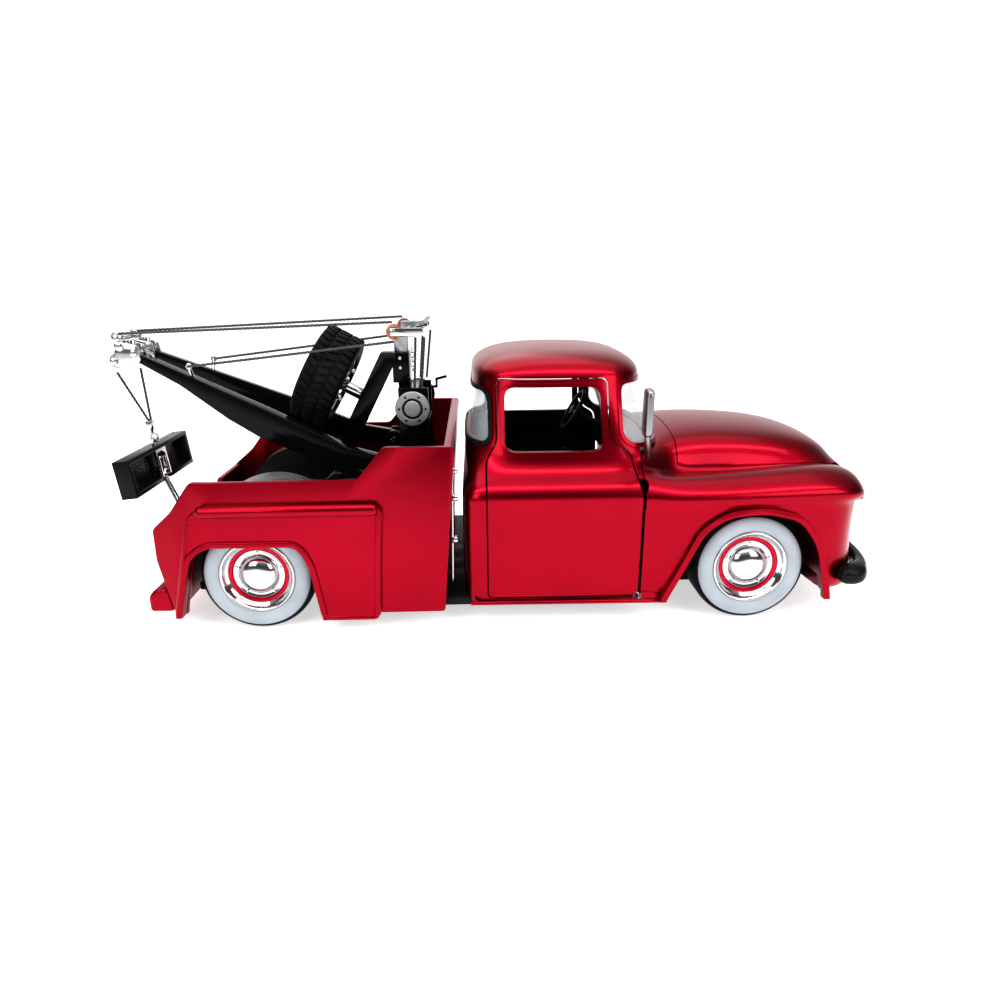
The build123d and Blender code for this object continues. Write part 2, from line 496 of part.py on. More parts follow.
def build_spare():
    """Spare wheel leaning on the mast, its axle square to the mast leg."""
    lean = radians(leg_lean)
    axis = Vector(sin(lean), 0, -cos(lean))
    centre = Vector(spare_centre[0], 0, spare_centre[1])
    plane = Plane(centre, x_dir=(0, 1, 0), z_dir=axis)
    half = spare_width / 2

    def turn(points):
        drawing = Plane(centre, x_dir=(0, 1, 0), z_dir=axis.cross(Vector(0, 1, 0)))
        return revolve(drawing * outline([(r, a) for r, a in points]), Axis(centre, axis))

    keep("spare_tyre", turn([(8.2, -half + 0.8), (9.4, -half), (12.2, -half), (spare_r, -half + 1.4), (spare_r, half - 1.4),
                             (12.2, half), (9.4, half), (8.2, half - 0.8)]))
    rim = turn([(0, half - 3.2), (0, half - 1.6), (3.4, half - 1.0), (7.2, half - 0.8), (8.2, half - 0.8), (8.2, -half + 0.8),
                (7.4, -half + 0.8), (6.8, half - 3.2)])
    hole = extrude(plane * Circle(1.6), amount=20, both=True)
    keep("spare_wheel", rim - hole)
    stub = extrude(plane.offset(half - 3.6) * Circle(1.6), amount=12)
    stub = stub - mast_leg_solid()
    stub = [s for s in stub.solids() if s.center().X < 24][:1]
    studs = []
    for turn_by in range(0, 360, 72):
        spot = plane.offset(half - 1.2) * Pos(4.6 * cos(radians(turn_by)), 4.6 * sin(radians(turn_by)), 0)
        studs.append(extrude(spot * Circle(0.6), amount=1.6) - rim)
    keep("spare_fasteners", *stub, *studs)


def mast_base_x():
    return mast_top[0] - (mast_top[1] - 33.2) / sin(radians(leg_lean)) * cos(radians(leg_lean))


def mast_leg_solid():
    slope = Vector(cos(radians(leg_lean)), 0, sin(radians(leg_lean)))
    foot_x = mast_base_x()
    leg = beam((foot_x - slope.X * 4, 33.2 - slope.Z * 4), (mast_top[0] + slope.X * 2, mast_top[1] + slope.Z * 2), 4.4, 5.0)
    return leg & block(0, 60, -5, 5, 33.2, mast_top[1])


# bed

def bed_outer():
    taper = [(-26, -33.8), (-18, -35.6), (-9, -bed_half), (52, -bed_half), (52, bed_half), (-9, bed_half), (-18, 35.6), (-26, 33.8)]
    return prism(bed_side, -bed_half, bed_half) & flat(taper, 0, 60)


def build_bed():
    inside = prism([(-22.4, 18.8), (-22.4, 60), (47.0, 60), (44.9, 18.8)], -bed_half + wall, bed_half - wall)
    taper = [(-25, -32.3), (-17.6, -34.1), (-8.6, -bed_half + wall), (50, -bed_half + wall), (50, bed_half - wall), (-8.6, bed_half - wall),
             (-17.6, 34.1), (-25, 32.3)]
    inside = inside & flat(taper, 0, 70)
    below = prism([(-19.8, 0), (-22.4, 17.2), (44.8, 17.2), (43.8, 0)], -60, 60) & flat(taper, -5, 70)
    bed = bed_outer() - inside - below
    bed = bed - prism([(-30, 26.2), (-30, 60), (-14.6, 60), (-14.6, 39.6), (-22.0, 26.2)], -31.0, 31.0)
    bed = bed - block(-30, -20, -13, 13, 22.4, 40)
    flares = prism(flare_side, bed_half, 39.0) + prism(flare_side, -39.0, -bed_half)
    roll = [(-27.9, 4.3), (-27.9, 8.4), (-26.2, 10.2), (-22.9, 10.2), (-22.0, 4.3)]
    bed = bed + flares + prism(roll, -34.0, 34.0)
    bed = bed - across(0, axle_z, 15.4, -37.4, 37.4) - block(43, 50, -34.4, 34.4, 0, 7.0)
    bed = bed - prism(bed_arch_side, bed_half - wall - 1.5, 45) - prism(bed_arch_side, -45, -bed_half + wall + 1.5)
    for y0, y1 in ((-bed_half + wall, -tub_inner_y), (tub_inner_y, bed_half - wall)):
        bed = bed - block(tub_x - tub_r, tub_x + tub_r, y0, y1, 17.0, 19.0)
    for y in (-28.5, 28.5):
        bed = bed - rod((-30, y, 15.5), (-20, y, 15.5), 2.2)
    keep("tow_bed", bed)
    deck = flat([(-22.2, -32.4), (-17.6, -33.9), (-8.6, -35.3), (44.8, -35.3), (44.8, 35.3), (-8.6, 35.3), (-17.6, 33.9), (-22.2, 32.4)],
                18.8, deck_z)
    for y0, y1 in ((-40, -tub_inner_y - 1.0), (tub_inner_y + 1.0, 40)):
        deck = deck - block(tub_x - tub_r + 1.0, tub_x + tub_r - 1.0, y0, y1, 17, 22)
    liner = deck
    for side in (-1, 1):
        y0, y1 = sorted((side * tub_inner_y, side * (bed_half - wall - tub_gap)))
        e0, e1 = sorted((side * (tub_inner_y + 1.0), side * bed_half))
        tub = across(tub_x, 17.0, tub_r, y0, y1) - across(tub_x, 17.0, tub_r - 1.0, e0, e1)
        tub = tub & block(-30, 40, -60, 60, 18.8, 60) & flat(taper, 0, 70)
        liner = liner + tub
    keep("bed_liner", liner)
    keep("tail_lights", *[rod((-24.6, y, 15.5), (-21.6, y, 15.5), 2.2) - block(-21.9, -20, -60, 60, 0, 60) for y in (-28.5, 28.5)])


# nose, glass, mirrors and engine

def build_nose():
    frame = block(148.6, 150.6, -grille_half, grille_half, grille_z0, grille_z1)
    frame = frame - block(148, 152, -grille_half + 1.2, grille_half - 1.2, grille_z0 + 1.2, grille_z1 - 1.2)
    for level in (18.4, 22.0, 25.6):
        frame = frame + block(148.9, 150.3, -grille_half + 0.6, grille_half - 0.6, level - 0.5, level + 0.5)
    for y in range(-14, 15, 4):
        frame = frame + block(149.0, 150.0, y - 0.35, y + 0.35, grille_z0 + 0.6, grille_z1 - 0.6)
    keep("grille", frame)
    bezels, lenses = [], []
    for side in (-1, 1):
        y = side * lamp_y
        cup = rod((144.4, y, lamp_z), (147.6, y, lamp_z), lamp_r) - rod((145.2, y, lamp_z), (148, y, lamp_z), lamp_r - 0.7)
        bezels.append(cup & plan_solid(nose_plan, 0, 0, 60))
        lenses.append(rod((145.4, y, lamp_z), (146.8, y, lamp_z), lamp_r - 0.75))
    keep("headlight_bezels", *bezels)
    keep("front_lamp_lenses", *lenses, *[rod((145.0, side * lamp_y, 20.2), (146.6, side * lamp_y, 20.2), 1.7) & plan_solid(nose_plan, 0, 0, 60)
                            for side in (-1, 1)])
    front = [(141.6, 40.4), (145.4, 40.4), (149.2, 37.8), (151.8, 32.8), (153.7, 24.5), (154.7, 14), (front_end_x, 0)]
    back = [(152.6, 0), (152.6, 15.5), (151.6, 24), (149.6, 31.4), (147.6, 35.6), (145.0, 38.4), (141.6, 38.6)]
    bar = flat([(x, -y) for x, y in front] + [(x, -y) for x, y in back], 9.4, 15.2)
    bar = bar + mirror(bar, about=Plane.XZ)
    keep("front_bumper", bar)


def build_mirrors():
    skin = cab_solid(0) + (prism(cowl_side, -45, 45) & section_solid(cab_section, 0, 93.6, 110))
    skin = skin + mirror(door_cut(gap), about=Plane.XZ) + door_cut(gap)
    mirrors = []
    for side in (-1, 1):
        arm = rod((95.0, side * 31.4, 40.6), (92.9, side * 36.6, 48.6), 0.7)
        stay = rod((92.7, side * 36.6, 48.2), (92.7, side * 37.2, 52.4), 0.6)
        head = block(91.6, 93.8, *sorted((side * 35.6, side * 41.0)), 47.4, 58.2)
        mirrors.append((arm + stay + head) - skin)
    keep("wing_mirrors", *mirrors)


def build_engine():
    cylinders = crosswise([(-6.4, 16.2), (6.4, 16.2), (6.4, 17), (12.6, 23), (8.4, 28), (-8.4, 28), (-12.6, 23), (-6.4, 17)], 105, 131)
    mounts = block(106, 112, -6.4, 6.4, 6.6, 16.2)
    keep("engine_block", cylinders + mounts)
    covers = []
    for side in (-1, 1):
        covers.append(crosswise([(side * 12.6, 23.2), (side * 8.6, 28.2), (side * 10.6, 30.2), (side * 14.6, 25.0)], 107, 129))
    cleaner = rod((118, 0, 28), (118, 0, 31), 2.6) + rod((118, 0, 31), (118, 0, 34.4), 7.2) + rod((118, 0, 34.4), (118, 0, 35.6), 1.2)
    keep("engine_dress", cleaner, *covers)
    keep("radiator", block(139.5, 142.5, -17.5, 17.5, 8.5, 33.5) + block(140.0, 142.0, -3, 3, 6.6, 8.5) + rod((141, 0, 33), (141, 0, 35.0), 1.8))


def build_all():
    keep("cab_shell", build_cab())
    keep("front_clip", build_front_clip())
    right = door_side_panel()
    keep("door_right", right)
    keep("door_left", mirror(right, about=Plane.XZ))
    keep("door_hinge_pins", *door_pins(0))
    keep("hood", build_hood())
    keep("windscreen", glass(windscreen_side))
    keep("rear_window", glass(rear_window_side))
    keep("chassis_pan", build_chassis())
    keep("chassis_screws", *[case_screw(x, y) for x, y in case_screws])
    build_interior()
    build_nose()
    build_mirrors()
    build_engine()
    wheel_set(0, "rear")
    wheel_set(wheelbase, "front")
    build_bed()
    build_crane()
    build_boom_tip()
    build_ropes()
    build_sling()
    build_tow_bar()
    build_spare()


def write():
    os.makedirs("parts", exist_ok=True)
    for name, shape in parts.items():
        export_step(Pos(-origin_x, 0, 0) * shape, f"parts/{name}.step")


build_all()
write()
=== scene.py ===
import json
from math import cos, pi, radians, sin

import bmesh
import bpy
from mathutils import Matrix, Vector


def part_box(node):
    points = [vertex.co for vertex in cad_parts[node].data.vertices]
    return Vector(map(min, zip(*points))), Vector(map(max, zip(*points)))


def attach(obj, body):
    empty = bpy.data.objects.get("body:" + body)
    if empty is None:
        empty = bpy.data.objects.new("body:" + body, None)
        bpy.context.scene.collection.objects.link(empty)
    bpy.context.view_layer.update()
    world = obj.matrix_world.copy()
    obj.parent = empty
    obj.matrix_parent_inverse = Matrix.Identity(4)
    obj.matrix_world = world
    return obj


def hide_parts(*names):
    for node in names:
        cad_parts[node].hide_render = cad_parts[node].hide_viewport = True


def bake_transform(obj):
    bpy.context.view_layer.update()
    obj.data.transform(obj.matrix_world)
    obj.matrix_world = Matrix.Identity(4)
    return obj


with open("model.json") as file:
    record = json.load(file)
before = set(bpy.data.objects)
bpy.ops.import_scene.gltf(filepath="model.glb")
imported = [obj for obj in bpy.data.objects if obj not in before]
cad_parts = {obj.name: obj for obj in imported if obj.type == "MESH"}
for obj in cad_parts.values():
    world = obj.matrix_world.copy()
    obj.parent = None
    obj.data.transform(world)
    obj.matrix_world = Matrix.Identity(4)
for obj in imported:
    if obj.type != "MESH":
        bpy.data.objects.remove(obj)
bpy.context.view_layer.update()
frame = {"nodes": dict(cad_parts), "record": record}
print("frame loaded")

mm = 0.001
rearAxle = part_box("rear_axle")
rearAxleX = (rearAxle[0][0] + rearAxle[1][0]) / 2
# pieces are modelled in millimetres from the rear axle and the ground, then brought into the frame
toFrame = Matrix.Translation((rearAxleX, 0, 0)) @ Matrix.Scale(mm, 4)


def at(x, y, z):
    return Vector((rearAxleX + x * mm, y * mm, z * mm))


# camera and lights

camera = dict(place=(53.7, -203.8, 82.1), yaw=1.5, down=19.29, roll=-0.59, lens=26.62,
              shiftX=0.004, shiftY=0.036)
lights = [  # place, aim, size along and across, watts
    ((60, -60, 360), (60, 0, 30), (0.50, 0.50), 0.8),
    ((60, -155, 345), (60, -40, 33), (0.62, 0.07), 0.8),
    ((-150, -260, 190), (30, 0, 35), (0.16, 0.16), 0.35),
    ((270, -230, 160), (110, 0, 30), (0.14, 0.14), 0.3),
    ((-40, 200, 380), (60, 0, 40), (0.40, 0.40), 0.5),
]
# grey levels of the room: what shiny surfaces reflect from horizon to ceiling and on the far side,
# what lights the rest, and what the camera sees
room = dict(horizon=0.30, bands=((0.12, 0.12), (0.35, 0.08), (0.62, 0.30)), ceiling=0.75,
            farSide=0.95, farFrom=0.45, farTo=0.9, fill=0.62, backdrop=1.0)


def placeCamera():
    yaw, down, roll = (radians(camera[key]) for key in ("yaw", "down", "roll"))
    ahead = Vector((sin(yaw) * cos(down), cos(yaw) * cos(down), -sin(down)))
    right = Vector((cos(yaw), -sin(yaw), 0))
    up = right.cross(ahead)
    tiltedRight = right * cos(roll) + up * sin(roll)
    tiltedUp = up * cos(roll) - right * sin(roll)
    data = bpy.data.cameras.new("camera")
    data.lens, data.sensor_width = camera["lens"], 36
    data.shift_x, data.shift_y = camera["shiftX"], camera["shiftY"]
    data.clip_start, data.clip_end = 0.005, 20
    item = bpy.data.objects.new("camera", data)
    turn = Matrix((tiltedRight, tiltedUp, -ahead)).transposed().to_4x4()
    item.matrix_world = Matrix.Translation(at(*camera["place"])) @ turn
    bpy.context.collection.objects.link(item)
    bpy.context.scene.camera = item


def placeLights():
    for index, (place, aim, size, watts) in enumerate(lights):
        data = bpy.data.lights.new(f"softLight{index}", "AREA")
        data.shape, data.energy, data.color = "RECTANGLE", watts, (1.0, 1.0, 1.0)
        data.size, data.size_y = size
        item = bpy.data.objects.new(f"softLight{index}", data)
        item.location = at(*place)
        item.rotation_euler = (at(*aim) - at(*place)).to_track_quat("-Z", "Y").to_euler()
        bpy.context.collection.objects.link(item)


def grey(level):
    return (level, level, level, 1)


def colourMix(tree, first, second):
    # each of the two is a grey level or a socket
    node = tree.nodes.new("ShaderNodeMix")
    node.data_type = "RGBA"
    for index, value in ((6, first), (7, second)):
        if isinstance(value, bpy.types.NodeSocket):
            tree.links.new(value, node.inputs[index])
        else:
            node.inputs[index].default_value = grey(value)
    return node


def paintRoom():
    world = bpy.data.worlds.new("paleRoom")
    world.use_nodes = True
    tree = world.node_tree
    direction = tree.nodes.new("ShaderNodeTexCoord")
    axes = tree.nodes.new("ShaderNodeSeparateXYZ")
    tree.links.new(direction.outputs["Generated"], axes.inputs[0])
    walls = tree.nodes.new("ShaderNodeValToRGB")
    ramp = walls.color_ramp
    ramp.elements[0].position, ramp.elements[0].color = 0.0, grey(room["horizon"])
    ramp.elements[1].position, ramp.elements[1].color = 1.0, grey(room["ceiling"])
    for position, level in room["bands"]:
        ramp.elements.new(position).color = grey(level)
    tree.links.new(axes.outputs["Z"], walls.inputs[0])
    farShare = tree.nodes.new("ShaderNodeMapRange")
    farShare.inputs[1].default_value, farShare.inputs[2].default_value = room["farFrom"], room["farTo"]
    tree.links.new(axes.outputs["Y"], farShare.inputs[0])
    reflected = colourMix(tree, walls.outputs[0], room["farSide"])
    tree.links.new(farShare.outputs[0], reflected.inputs[0])
    rays = tree.nodes.new("ShaderNodeLightPath")
    lighting = colourMix(tree, room["fill"], reflected.outputs[2])
    tree.links.new(rays.outputs["Is Glossy Ray"], lighting.inputs[0])
    seen = colourMix(tree, lighting.outputs[2], room["backdrop"])
    tree.links.new(rays.outputs["Is Camera Ray"], seen.inputs[0])
    background = tree.nodes["Background"]
    tree.links.new(seen.outputs[2], background.inputs[0])
    background.inputs[1].default_value = 1.0
    bpy.context.scene.world = world
    bpy.context.scene.view_settings.view_transform = "Standard"
    bpy.context.scene.view_settings.look = "Medium High Contrast"


placeCamera()
placeLights()
paintRoom()
print("camera and lights placed")

# finishes


class Level:
    # one socket, with arithmetic that adds its Math nodes
    def __init__(self, finish, socket):
        self.finish, self.socket = finish, socket

    def sum(self, operation, other, swapped=False):
        pair = [other, self] if swapped else [self, other]
        node = self.finish.make("ShaderNodeMath", {"operation": operation}, {0: pair[0], 1: pair[1]})
        return Level(self.finish, node.outputs[0])

    def __add__(self, other):
        return self.sum("ADD", other)

    def __sub__(self, other):
        return self.sum("SUBTRACT", other)

    def __rsub__(self, other):
        return self.sum("SUBTRACT", other, True)

    def __mul__(self, other):
        return self.sum("MULTIPLY", other)

    __radd__ = __add__
    __rmul__ = __mul__


class Finish:
    def __init__(self, name, colour, metallic=0.0, roughness=0.4, **sockets):
        self.material = bpy.data.materials.new(name)
        self.material.use_nodes = True
        self.tree = self.material.node_tree
        self.surface = self.tree.nodes["Principled BSDF"]
        self.where = self.make("ShaderNodeTexCoord").outputs["Object"]
        self.give("Base Color", (*colour, 1.0))
        self.give("Metallic", metallic)
        self.give("Roughness", roughness)
        for key, value in sockets.items():
            self.give(key.replace("_", " "), value)

    def make(self, kind, settings=None, sockets=None):
        node = self.tree.nodes.new(kind)
        for key, value in (settings or {}).items():
            if key == "stops":
                for stop, (place, shade) in zip(self.stopsOf(node, len(value)), value):
                    stop.position, stop.color = place, (*shade, 1.0)
            else:
                setattr(node, key, value)
        for key, value in (sockets or {}).items():
            self.join(value, node.inputs[key])
        return node

    def stopsOf(self, node, count):
        stops = node.color_ramp.elements
        while len(stops) < count:
            stops.new(0.5)
        return stops

    def join(self, value, socket):
        if isinstance(value, Level):
            value = value.socket
        if isinstance(value, bpy.types.NodeSocket):
            self.tree.links.new(value, socket)
        else:
            socket.default_value = value

    def give(self, name, value):
        self.join(value, self.surface.inputs[name])

    def noise(self, scale, detail=2.0, rough=0.5, stretch=None):
        where = self.where
        if stretch:
            where = self.make("ShaderNodeMapping", None, {"Vector": where, "Scale": stretch}).outputs[0]
        sockets = {"Vector": where, "Scale": scale, "Detail": detail, "Roughness": rough}
        return Level(self, self.make("ShaderNodeTexNoise", None, sockets).outputs["Fac"])

    def blendColours(self, amount, one, two):
        ramp = self.make("ShaderNodeValToRGB", {"stops": [(0.3, one), (0.7, two)]}, {"Fac": amount})
        self.give("Base Color", ramp.outputs["Color"])

    def relief(self, height, depth, soften=0.0):
        sockets = {"Height": height, "Distance": depth, "Strength": 1.0}
        if soften:
            sockets["Normal"] = self.make("ShaderNodeBevel", {"samples": 4}, {"Radius": soften}).outputs[0]
        self.give("Normal", self.make("ShaderNodeBump", None, sockets).outputs[0])


def candyPaint(name, one, two):
    finish = Finish(name, one, 1.0, 0.3, Coat_Weight=0.10, Coat_Roughness=0.05)
    finish.blendColours(finish.noise(40, 3), one, two)
    finish.give("Roughness", finish.noise(5200, 1) * 0.10 + 0.25)
    finish.relief(finish.noise(9000, 1), 0.0000035, 0.00025)
    return finish


def polished(name, colour, roughness):
    finish = Finish(name, colour, 1.0, roughness)
    finish.blendColours(finish.noise(90, 3), tuple(c * 0.93 for c in colour), colour)
    finish.give("Roughness", finish.noise(260, 4) * 0.08 + roughness)
    finish.relief(finish.noise(700, 3), 0.000006, 0.00015)
    return finish


def blackCoat(name, shade, roughness, grain):
    finish = Finish(name, (shade, shade, shade * 1.08), 0.0, roughness, Specular_IOR_Level=0.09)
    finish.blendColours(finish.noise(120, 4), (shade * 0.8,) * 3, (shade * 1.35,) * 3)
    finish.give("Roughness", finish.noise(900, 3) * 0.16 + roughness - 0.08)
    finish.relief(finish.noise(grain, 3), 0.000003, 0.0002)
    return finish


def rubberLike(name, shade, roughness):
    finish = Finish(name, shade, 0.0, roughness)
    worn, fresh = tuple(c * 0.9 for c in shade), tuple(min(1, c * 1.08) for c in shade)
    finish.blendColours(finish.noise(160, 4), worn, fresh)
    finish.give("Roughness", finish.noise(1500, 2) * 0.12 + roughness - 0.06)
    finish.relief(finish.noise(2600, 3), 0.00001, 0.00012)
    return finish


def treadRubber():
    finish = Finish("tyreRubber", (0.012, 0.012, 0.013), 0.0, 0.62, Specular_IOR_Level=0.06)
    finish.blendColours(finish.noise(200, 4), (0.003, 0.003, 0.0035), (0.009, 0.009, 0.010))
    finish.give("Roughness", finish.noise(1400, 2) * 0.2 + 0.5)
    finish.relief(finish.noise(1900, 2), 0.00003, 0.0001)
    return finish


def clearGlass(name, colour, roughness, alpha):
    finish = Finish(name, colour, 0.0, roughness, Alpha=alpha, Coat_Weight=0.6)
    finish.give("Roughness", finish.noise(60, 2) * 0.05 + roughness)
    finish.relief(finish.noise(25, 1), 0.00001)
    return finish


def twistedCord():
    finish = Finish("cordFibre", (0.015, 0.015, 0.017), 0.0, 0.6)
    weave = finish.noise(2400, 2)
    finish.blendColours(weave, (0.008, 0.008, 0.009), (0.05, 0.05, 0.054))
    finish.relief(weave, 0.00008)
    return finish


finishes = {
    "body_red": candyPaint("candyRed", (0.22, 0.0005, 0.009), (0.26, 0.0007, 0.012)),
    "wheel_red": candyPaint("wheelRed", (0.40, 0.002, 0.018), (0.46, 0.004, 0.024)),
    "chrome": polished("brightChrome", (0.50, 0.50, 0.51), 0.06),
    "winch_silver": polished("castSilver", (0.30, 0.31, 0.32), 0.34),
    "steel": polished("zincSteel", (0.24, 0.24, 0.25), 0.28),
    "copper": polished("copperBright", (0.42, 0.19, 0.12), 0.22),
    "crane_black": blackCoat("craneBlack", 0.003, 0.14, 1500),
    "bumper_black": blackCoat("bumperBlack", 0.006, 0.26, 1800),
    "trim_black": blackCoat("cabinBlack", 0.006, 0.5, 2200),
    "pan_black": blackCoat("panBlack", 0.006, 0.45, 1500),
    "engine_grey": blackCoat("engineGrey", 0.10, 0.42, 1200),
    "tyre": treadRubber(),
    "whitewall": rubberLike("whitewallRubber", (0.27, 0.30, 0.33), 0.5),
    "glazing": clearGlass("cabGlass", (0.50, 0.55, 0.57), 0.04, 0.26),
    "lamp_glass": clearGlass("lampGlass", (0.90, 0.92, 0.94), 0.08, 0.45),
    "tail_lens": clearGlass("tailLens", (0.55, 0.01, 0.015), 0.1, 0.9),
    "rope": twistedCord(),
}
slotOf = {part["node"]: part["material_slot"] for part in frame["record"]["subparts"]}
print("finishes made")

# modelling tools


def turns(count, start=0.0):
    # angles evenly spaced over a full turn
    return [2 * pi * step / count + start for step in range(count)]


def filleted(points, radius, steps=5):
    # outline with its corners rounded
    result = []
    count = len(points)
    for index in range(count):
        here = Vector(points[index])
        before, after = Vector(points[index - 1]) - here, Vector(points[(index + 1) % count]) - here
        reach = min(radius, before.length * 0.49, after.length * 0.49)
        start, end = here + before.normalized() * reach, here + after.normalized() * reach
        for step in range(steps + 1):
            t = step / steps
            result.append(tuple(start * (1 - t) ** 2 + here * 2 * t * (1 - t) + end * t ** 2))
    return result


def widened(points, amount):
    # outline moved outwards by amount, whichever way it runs
    count = len(points)
    area = sum(points[i - 1][0] * points[i][1] - points[i][0] * points[i - 1][1] for i in range(count))
    side = 1 if area > 0 else -1
    moved = []
    for index in range(count):
        here = Vector(points[index])
        into = (here - Vector(points[index - 1])).normalized()
        out = (Vector(points[(index + 1) % count]) - here).normalized()
        one, two = Vector((into.y, -into.x)) * side, Vector((out.y, -out.x)) * side
        middle = one + two
        moved.append(tuple(here + middle * (amount / max(0.4, one.dot(middle)))))
    return moved


def prism(points, low, high, across="y"):
    # outline in X-Z pushed along Y, in X-Y along Z, or in Y-Z along X
    slot = "xyz".index(across)
    push = [0, 0, 0]
    push[slot] = high - low
    bm = bmesh.new()
    face = bm.faces.new([bm.verts.new((*point[:slot], low, *point[slot:])) for point in points])
    grown = bmesh.ops.extrude_face_region(bm, geom=[face])
    bmesh.ops.translate(bm, vec=push, verts=[v for v in grown["geom"] if isinstance(v, bmesh.types.BMVert)])
    bmesh.ops.recalc_face_normals(bm, faces=bm.faces)
    return bm


def box(x0, x1, y0, y1, z0, z1):
    bm = bmesh.new()
    bmesh.ops.create_cube(bm, size=1)
    bmesh.ops.scale(bm, vec=(x1 - x0, y1 - y0, z1 - z0), verts=bm.verts)
    bmesh.ops.translate(bm, vec=((x0 + x1) / 2, (y0 + y1) / 2, (z0 + z1) / 2), verts=bm.verts)
    return bm


def joined(*forms):
    # several forms in one mesh, left as separate shells
    result = bmesh.new()
    for form in forms:
        mesh = bpy.data.meshes.new("part")
        form.to_mesh(mesh)
        form.free()
        result.from_mesh(mesh)
        bpy.data.meshes.remove(mesh)
    return result


def mirroredY(bm):
    twin = bm.copy()
    bmesh.ops.scale(twin, vec=(1, -1, 1), verts=twin.verts)
    bmesh.ops.reverse_faces(twin, faces=twin.faces)
    return twin


def bothSides(bm):
    return joined(mirroredY(bm), bm)


def softened(bm, width, segments=2, angle=30):
    edges = [e for e in bm.edges if len(e.link_faces) == 2 and e.calc_face_angle(0) > radians(angle)]
    bmesh.ops.bevel(bm, geom=edges, offset=width, offset_type="OFFSET", segments=segments, profile=0.5,
                    affect="EDGES", clamp_overlap=True, material=-1)
    return bm


def bar(start, end, radius, sides=20, thin=None):
    start, end = Vector(start), Vector(end)
    bm = bmesh.new()
    bmesh.ops.create_cone(bm, cap_ends=True, segments=sides, radius1=radius,
                          radius2=radius if thin is None else thin, depth=(end - start).length)
    turn = (end - start).to_track_quat("Z", "Y").to_matrix().to_4x4()
    bmesh.ops.transform(bm, matrix=Matrix.Translation((start + end) / 2) @ turn, verts=bm.verts)
    return bm


def spun(profile, centre, axis, steps=64, closed=True):
    # (radius, along) points spun about an axis through centre
    axis = Vector(axis).normalized()
    aside = axis.orthogonal().normalized()
    bm = bmesh.new()
    verts = [bm.verts.new(Vector(centre) + aside * r + axis * a) for r, a in profile]
    pairs = zip(verts, verts[1:] + verts[:1] if closed else verts[1:])
    edges = [bm.edges.new(pair) for pair in pairs]
    bmesh.ops.spin(bm, geom=verts + edges, cent=centre, axis=axis, angle=2 * pi, steps=steps, use_merge=True)
    bmesh.ops.remove_doubles(bm, verts=bm.verts, dist=0.004)
    bmesh.ops.recalc_face_normals(bm, faces=bm.faces)
    return bm


def wireRing(centre, axis, radius, wire, sides, steps):
    profile = [(radius + wire * cos(angle), wire * sin(angle)) for angle in turns(sides)]
    return spun(profile, centre, axis, steps)


def workObject(bm):
    mesh = bpy.data.meshes.new("work")
    bm.to_mesh(mesh)
    bm.free()
    item = bpy.data.objects.new("work", mesh)
    bpy.context.collection.objects.link(item)
    return item


def applied(item):
    depsgraph = bpy.context.evaluated_depsgraph_get()
    mesh = bpy.data.meshes.new_from_object(item.evaluated_get(depsgraph))
    bm = bmesh.new()
    bm.from_mesh(mesh)
    bpy.data.meshes.remove(mesh)
    bpy.data.objects.remove(item)
    return bm


def smoothedForm(bm, levels=2):
    item = workObject(bm)
    modifier = item.modifiers.new("smooth", "SUBSURF")
    modifier.levels = modifier.render_levels = levels
    return applied(item)


def carved(bm, *cuts):
    item = workObject(bm)
    tools = []
    for operation, cutter in cuts:
        tool = workObject(cutter)
        tools.append(tool)
        modifier = item.modifiers.new("cut", "BOOLEAN")
        modifier.operation, modifier.object, modifier.solver = operation, tool, "EXACT"
        modifier.use_hole_tolerant = True
    result = applied(item)
    for tool in tools:
        bpy.data.objects.remove(tool)
    return result


def lofted(loops, levels=2, firm=(0, -1)):
    # closed loops joined in order and smoothed; the rim of each firm loop keeps its edge
    bm = bmesh.new()
    crease = bm.edges.layers.float.new("crease_edge")
    rows = []
    for loop in loops:
        verts = [bm.verts.new(point) for point in loop]
        rows.append([bm.edges.new(pair) for pair in zip(verts, verts[1:] + verts[:1])])
    for lower, upper in zip(rows, rows[1:]):
        for one, two in zip(lower, upper):
            bm.faces.new((one.verts[0], one.verts[1], two.verts[1], two.verts[0]))
    for index in firm:
        for edge in rows[index]:
            edge[crease] = 1.0
    for row in (rows[0], rows[-1]):
        bmesh.ops.contextual_create(bm, geom=row)
    bmesh.ops.recalc_face_normals(bm, faces=bm.faces)
    return smoothedForm(bm, levels)


madeNodes = set()
bodyOf = {node: body for body, nodes in frame["record"]["behaviour"]["bodies"].items() for node in nodes}


def addPiece(bm, name, body, slotName, replaced=(), sharp=35, finish=None):
    bmesh.ops.remove_doubles(bm, verts=bm.verts, dist=0.001)
    bmesh.ops.transform(bm, matrix=toFrame, verts=bm.verts)
    mesh = bpy.data.meshes.new(name)
    bm.to_mesh(mesh)
    bm.free()
    mesh.shade_smooth()
    mesh.set_sharp_from_angle(angle=radians(sharp))
    mesh.materials.append((finish or finishes[slotName]).material)
    piece = bpy.data.objects.new(name, mesh)
    bpy.context.collection.objects.link(piece)
    if body:
        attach(piece, body)
    if replaced:
        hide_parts(*replaced)
        madeNodes.update(replaced)
    return piece


def softNode(name, width=0.18, finish=None):
    # a modelled part with its edges softened
    bm = bmesh.new()
    bm.from_mesh(frame["nodes"][name].data)
    bmesh.ops.transform(bm, matrix=toFrame.inverted() @ frame["nodes"][name].matrix_world, verts=bm.verts)
    bmesh.ops.remove_doubles(bm, verts=bm.verts, dist=0.01)
    bmesh.ops.dissolve_limit(bm, angle_limit=radians(0.7), verts=bm.verts, edges=bm.edges)
    softened(bm, width, 2, 32)
    return addPiece(bm, name + "Soft", bodyOf[name], slotOf[name], [name], finish=finish)


# cab, doors and glass

